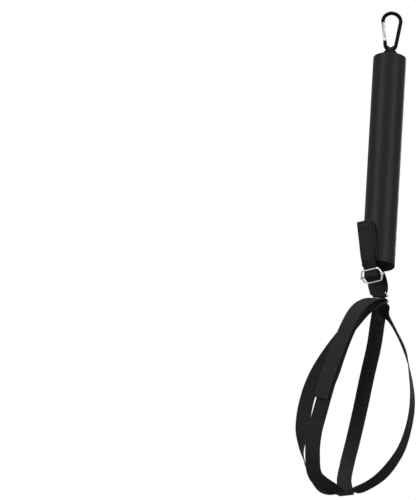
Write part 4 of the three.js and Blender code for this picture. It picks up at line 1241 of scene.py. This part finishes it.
def make_tube():
    rim = rounded_rim(TUBE_RADIUS, RIM_RADIUS, RIM_STEPS)
    bore_rim = rounded_rim(BORE_RADIUS, -BORE_RIM, BORE_RIM_STEPS)
    end_face = bore_rim[::-1] + rim
    levels = np.linspace(TUBE_BOTTOM + RIM_RADIUS, TUBE_TOP - RIM_RADIUS, TUBE_LEVELS + 1)[1:-1]
    outline = [(r, TUBE_BOTTOM + depth) for r, depth in end_face]
    outline += [(TUBE_RADIUS, z) for z in levels]
    outline += [(r, TUBE_TOP - depth) for r, depth in end_face[::-1]]
    profile = [(r * MM, 0.0, z * MM) for r, z in outline]
    edges = [(i, (i + 1) % len(profile)) for i in range(len(profile))]
    tube = new_piece("foam_tube_skin", profile, edges)
    made_by(tube_steps(), tube, {"Sides": TUBE_SIDES, "Bore Radius": BORE_RADIUS * MM,
                                 "Swell": SWELL * MM, "Swell Size": SWELL_SIZE * MM, "Foam": FOAM})
    outward(tube.data, SAME_PLACE)
    placed(tube, "hanger", "foam", "foam_tube")


def make_cord():
    """The braided elastic cord, its cover's yarns crossing in low bumps."""
    low, high = (np.array(corner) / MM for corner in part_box("elastic_cord"))
    z = np.linspace(low[2], high[2], CORD_LEVELS + 1)[:, None]
    angle = 2 * math.pi * np.arange(CORD_SIDES)[None, :] / CORD_SIDES
    strand = CORD_STRANDS / 2 * angle
    radius = high[0] + BRAID_DEPTH * (np.cos(strand + z) * np.cos(strand - z) - 1)
    height = np.broadcast_to(z, radius.shape)
    rings = np.stack([radius * np.cos(angle), radius * np.sin(angle), height], axis=2)
    cord, _ = new_skin("elastic_cord_braid", rings, False, BRAID)
    outward(cord.data, SAME_PLACE)
    reaching(cord, ("hanger", "lower_anchor"), on_axis(high[2]), on_axis(low[2]), "elastic", "elastic_cord")


# Metal pieces
COAT_THICKNESS = 0.28
PLATE_THICKNESS = 0.25
METAL_SHARP = math.radians(38)
METAL_MERGE = 2e-6


def refined(node, material, slot, swell=0.0):
    """A copy of a metal piece, its triangles joined, its round faces smooth and a plating added."""
    source = frame["nodes"][node]
    obj = added(node + "_finished", source.data.copy())
    outward(obj.data, METAL_MERGE, swell * MM)
    obj.data.shade_smooth()
    obj.data.set_sharp_from_angle(angle=METAL_SHARP)
    obj.data.materials.clear()
    obj.data.materials.append(material)
    placed(obj, source["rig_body"], slot, node)


def make_metal():
    refined("carabiner_body", COATED, "carabiner_black", COAT_THICKNESS)
    refined("carabiner_gate", GATE_STEEL, "bright_metal")
    for node in ("gate_latch_pin", "gate_hinge_rivet", "buckle_centre_bar"):
        refined(node, NICKEL, "bright_metal")
    for node in ("buckle_frame", "d_ring"):
        refined(node, NICKEL, "bright_metal", PLATE_THICKNESS)
    for node in ("gate_plunger", "gate_spring", "upper_cord_fitting", "upper_fitting_rivet",
                 "lower_cord_fitting", "lower_fitting_rivet"):
        refined(node, STEEL, "plain_steel")


bpy.context.scene.view_settings.view_transform = "Standard"
make_camera()
make_surroundings()
make_light()
make_top_loop()
make_strap()
make_cradle()
make_sewing()
make_tube()
make_cord()
make_metal()
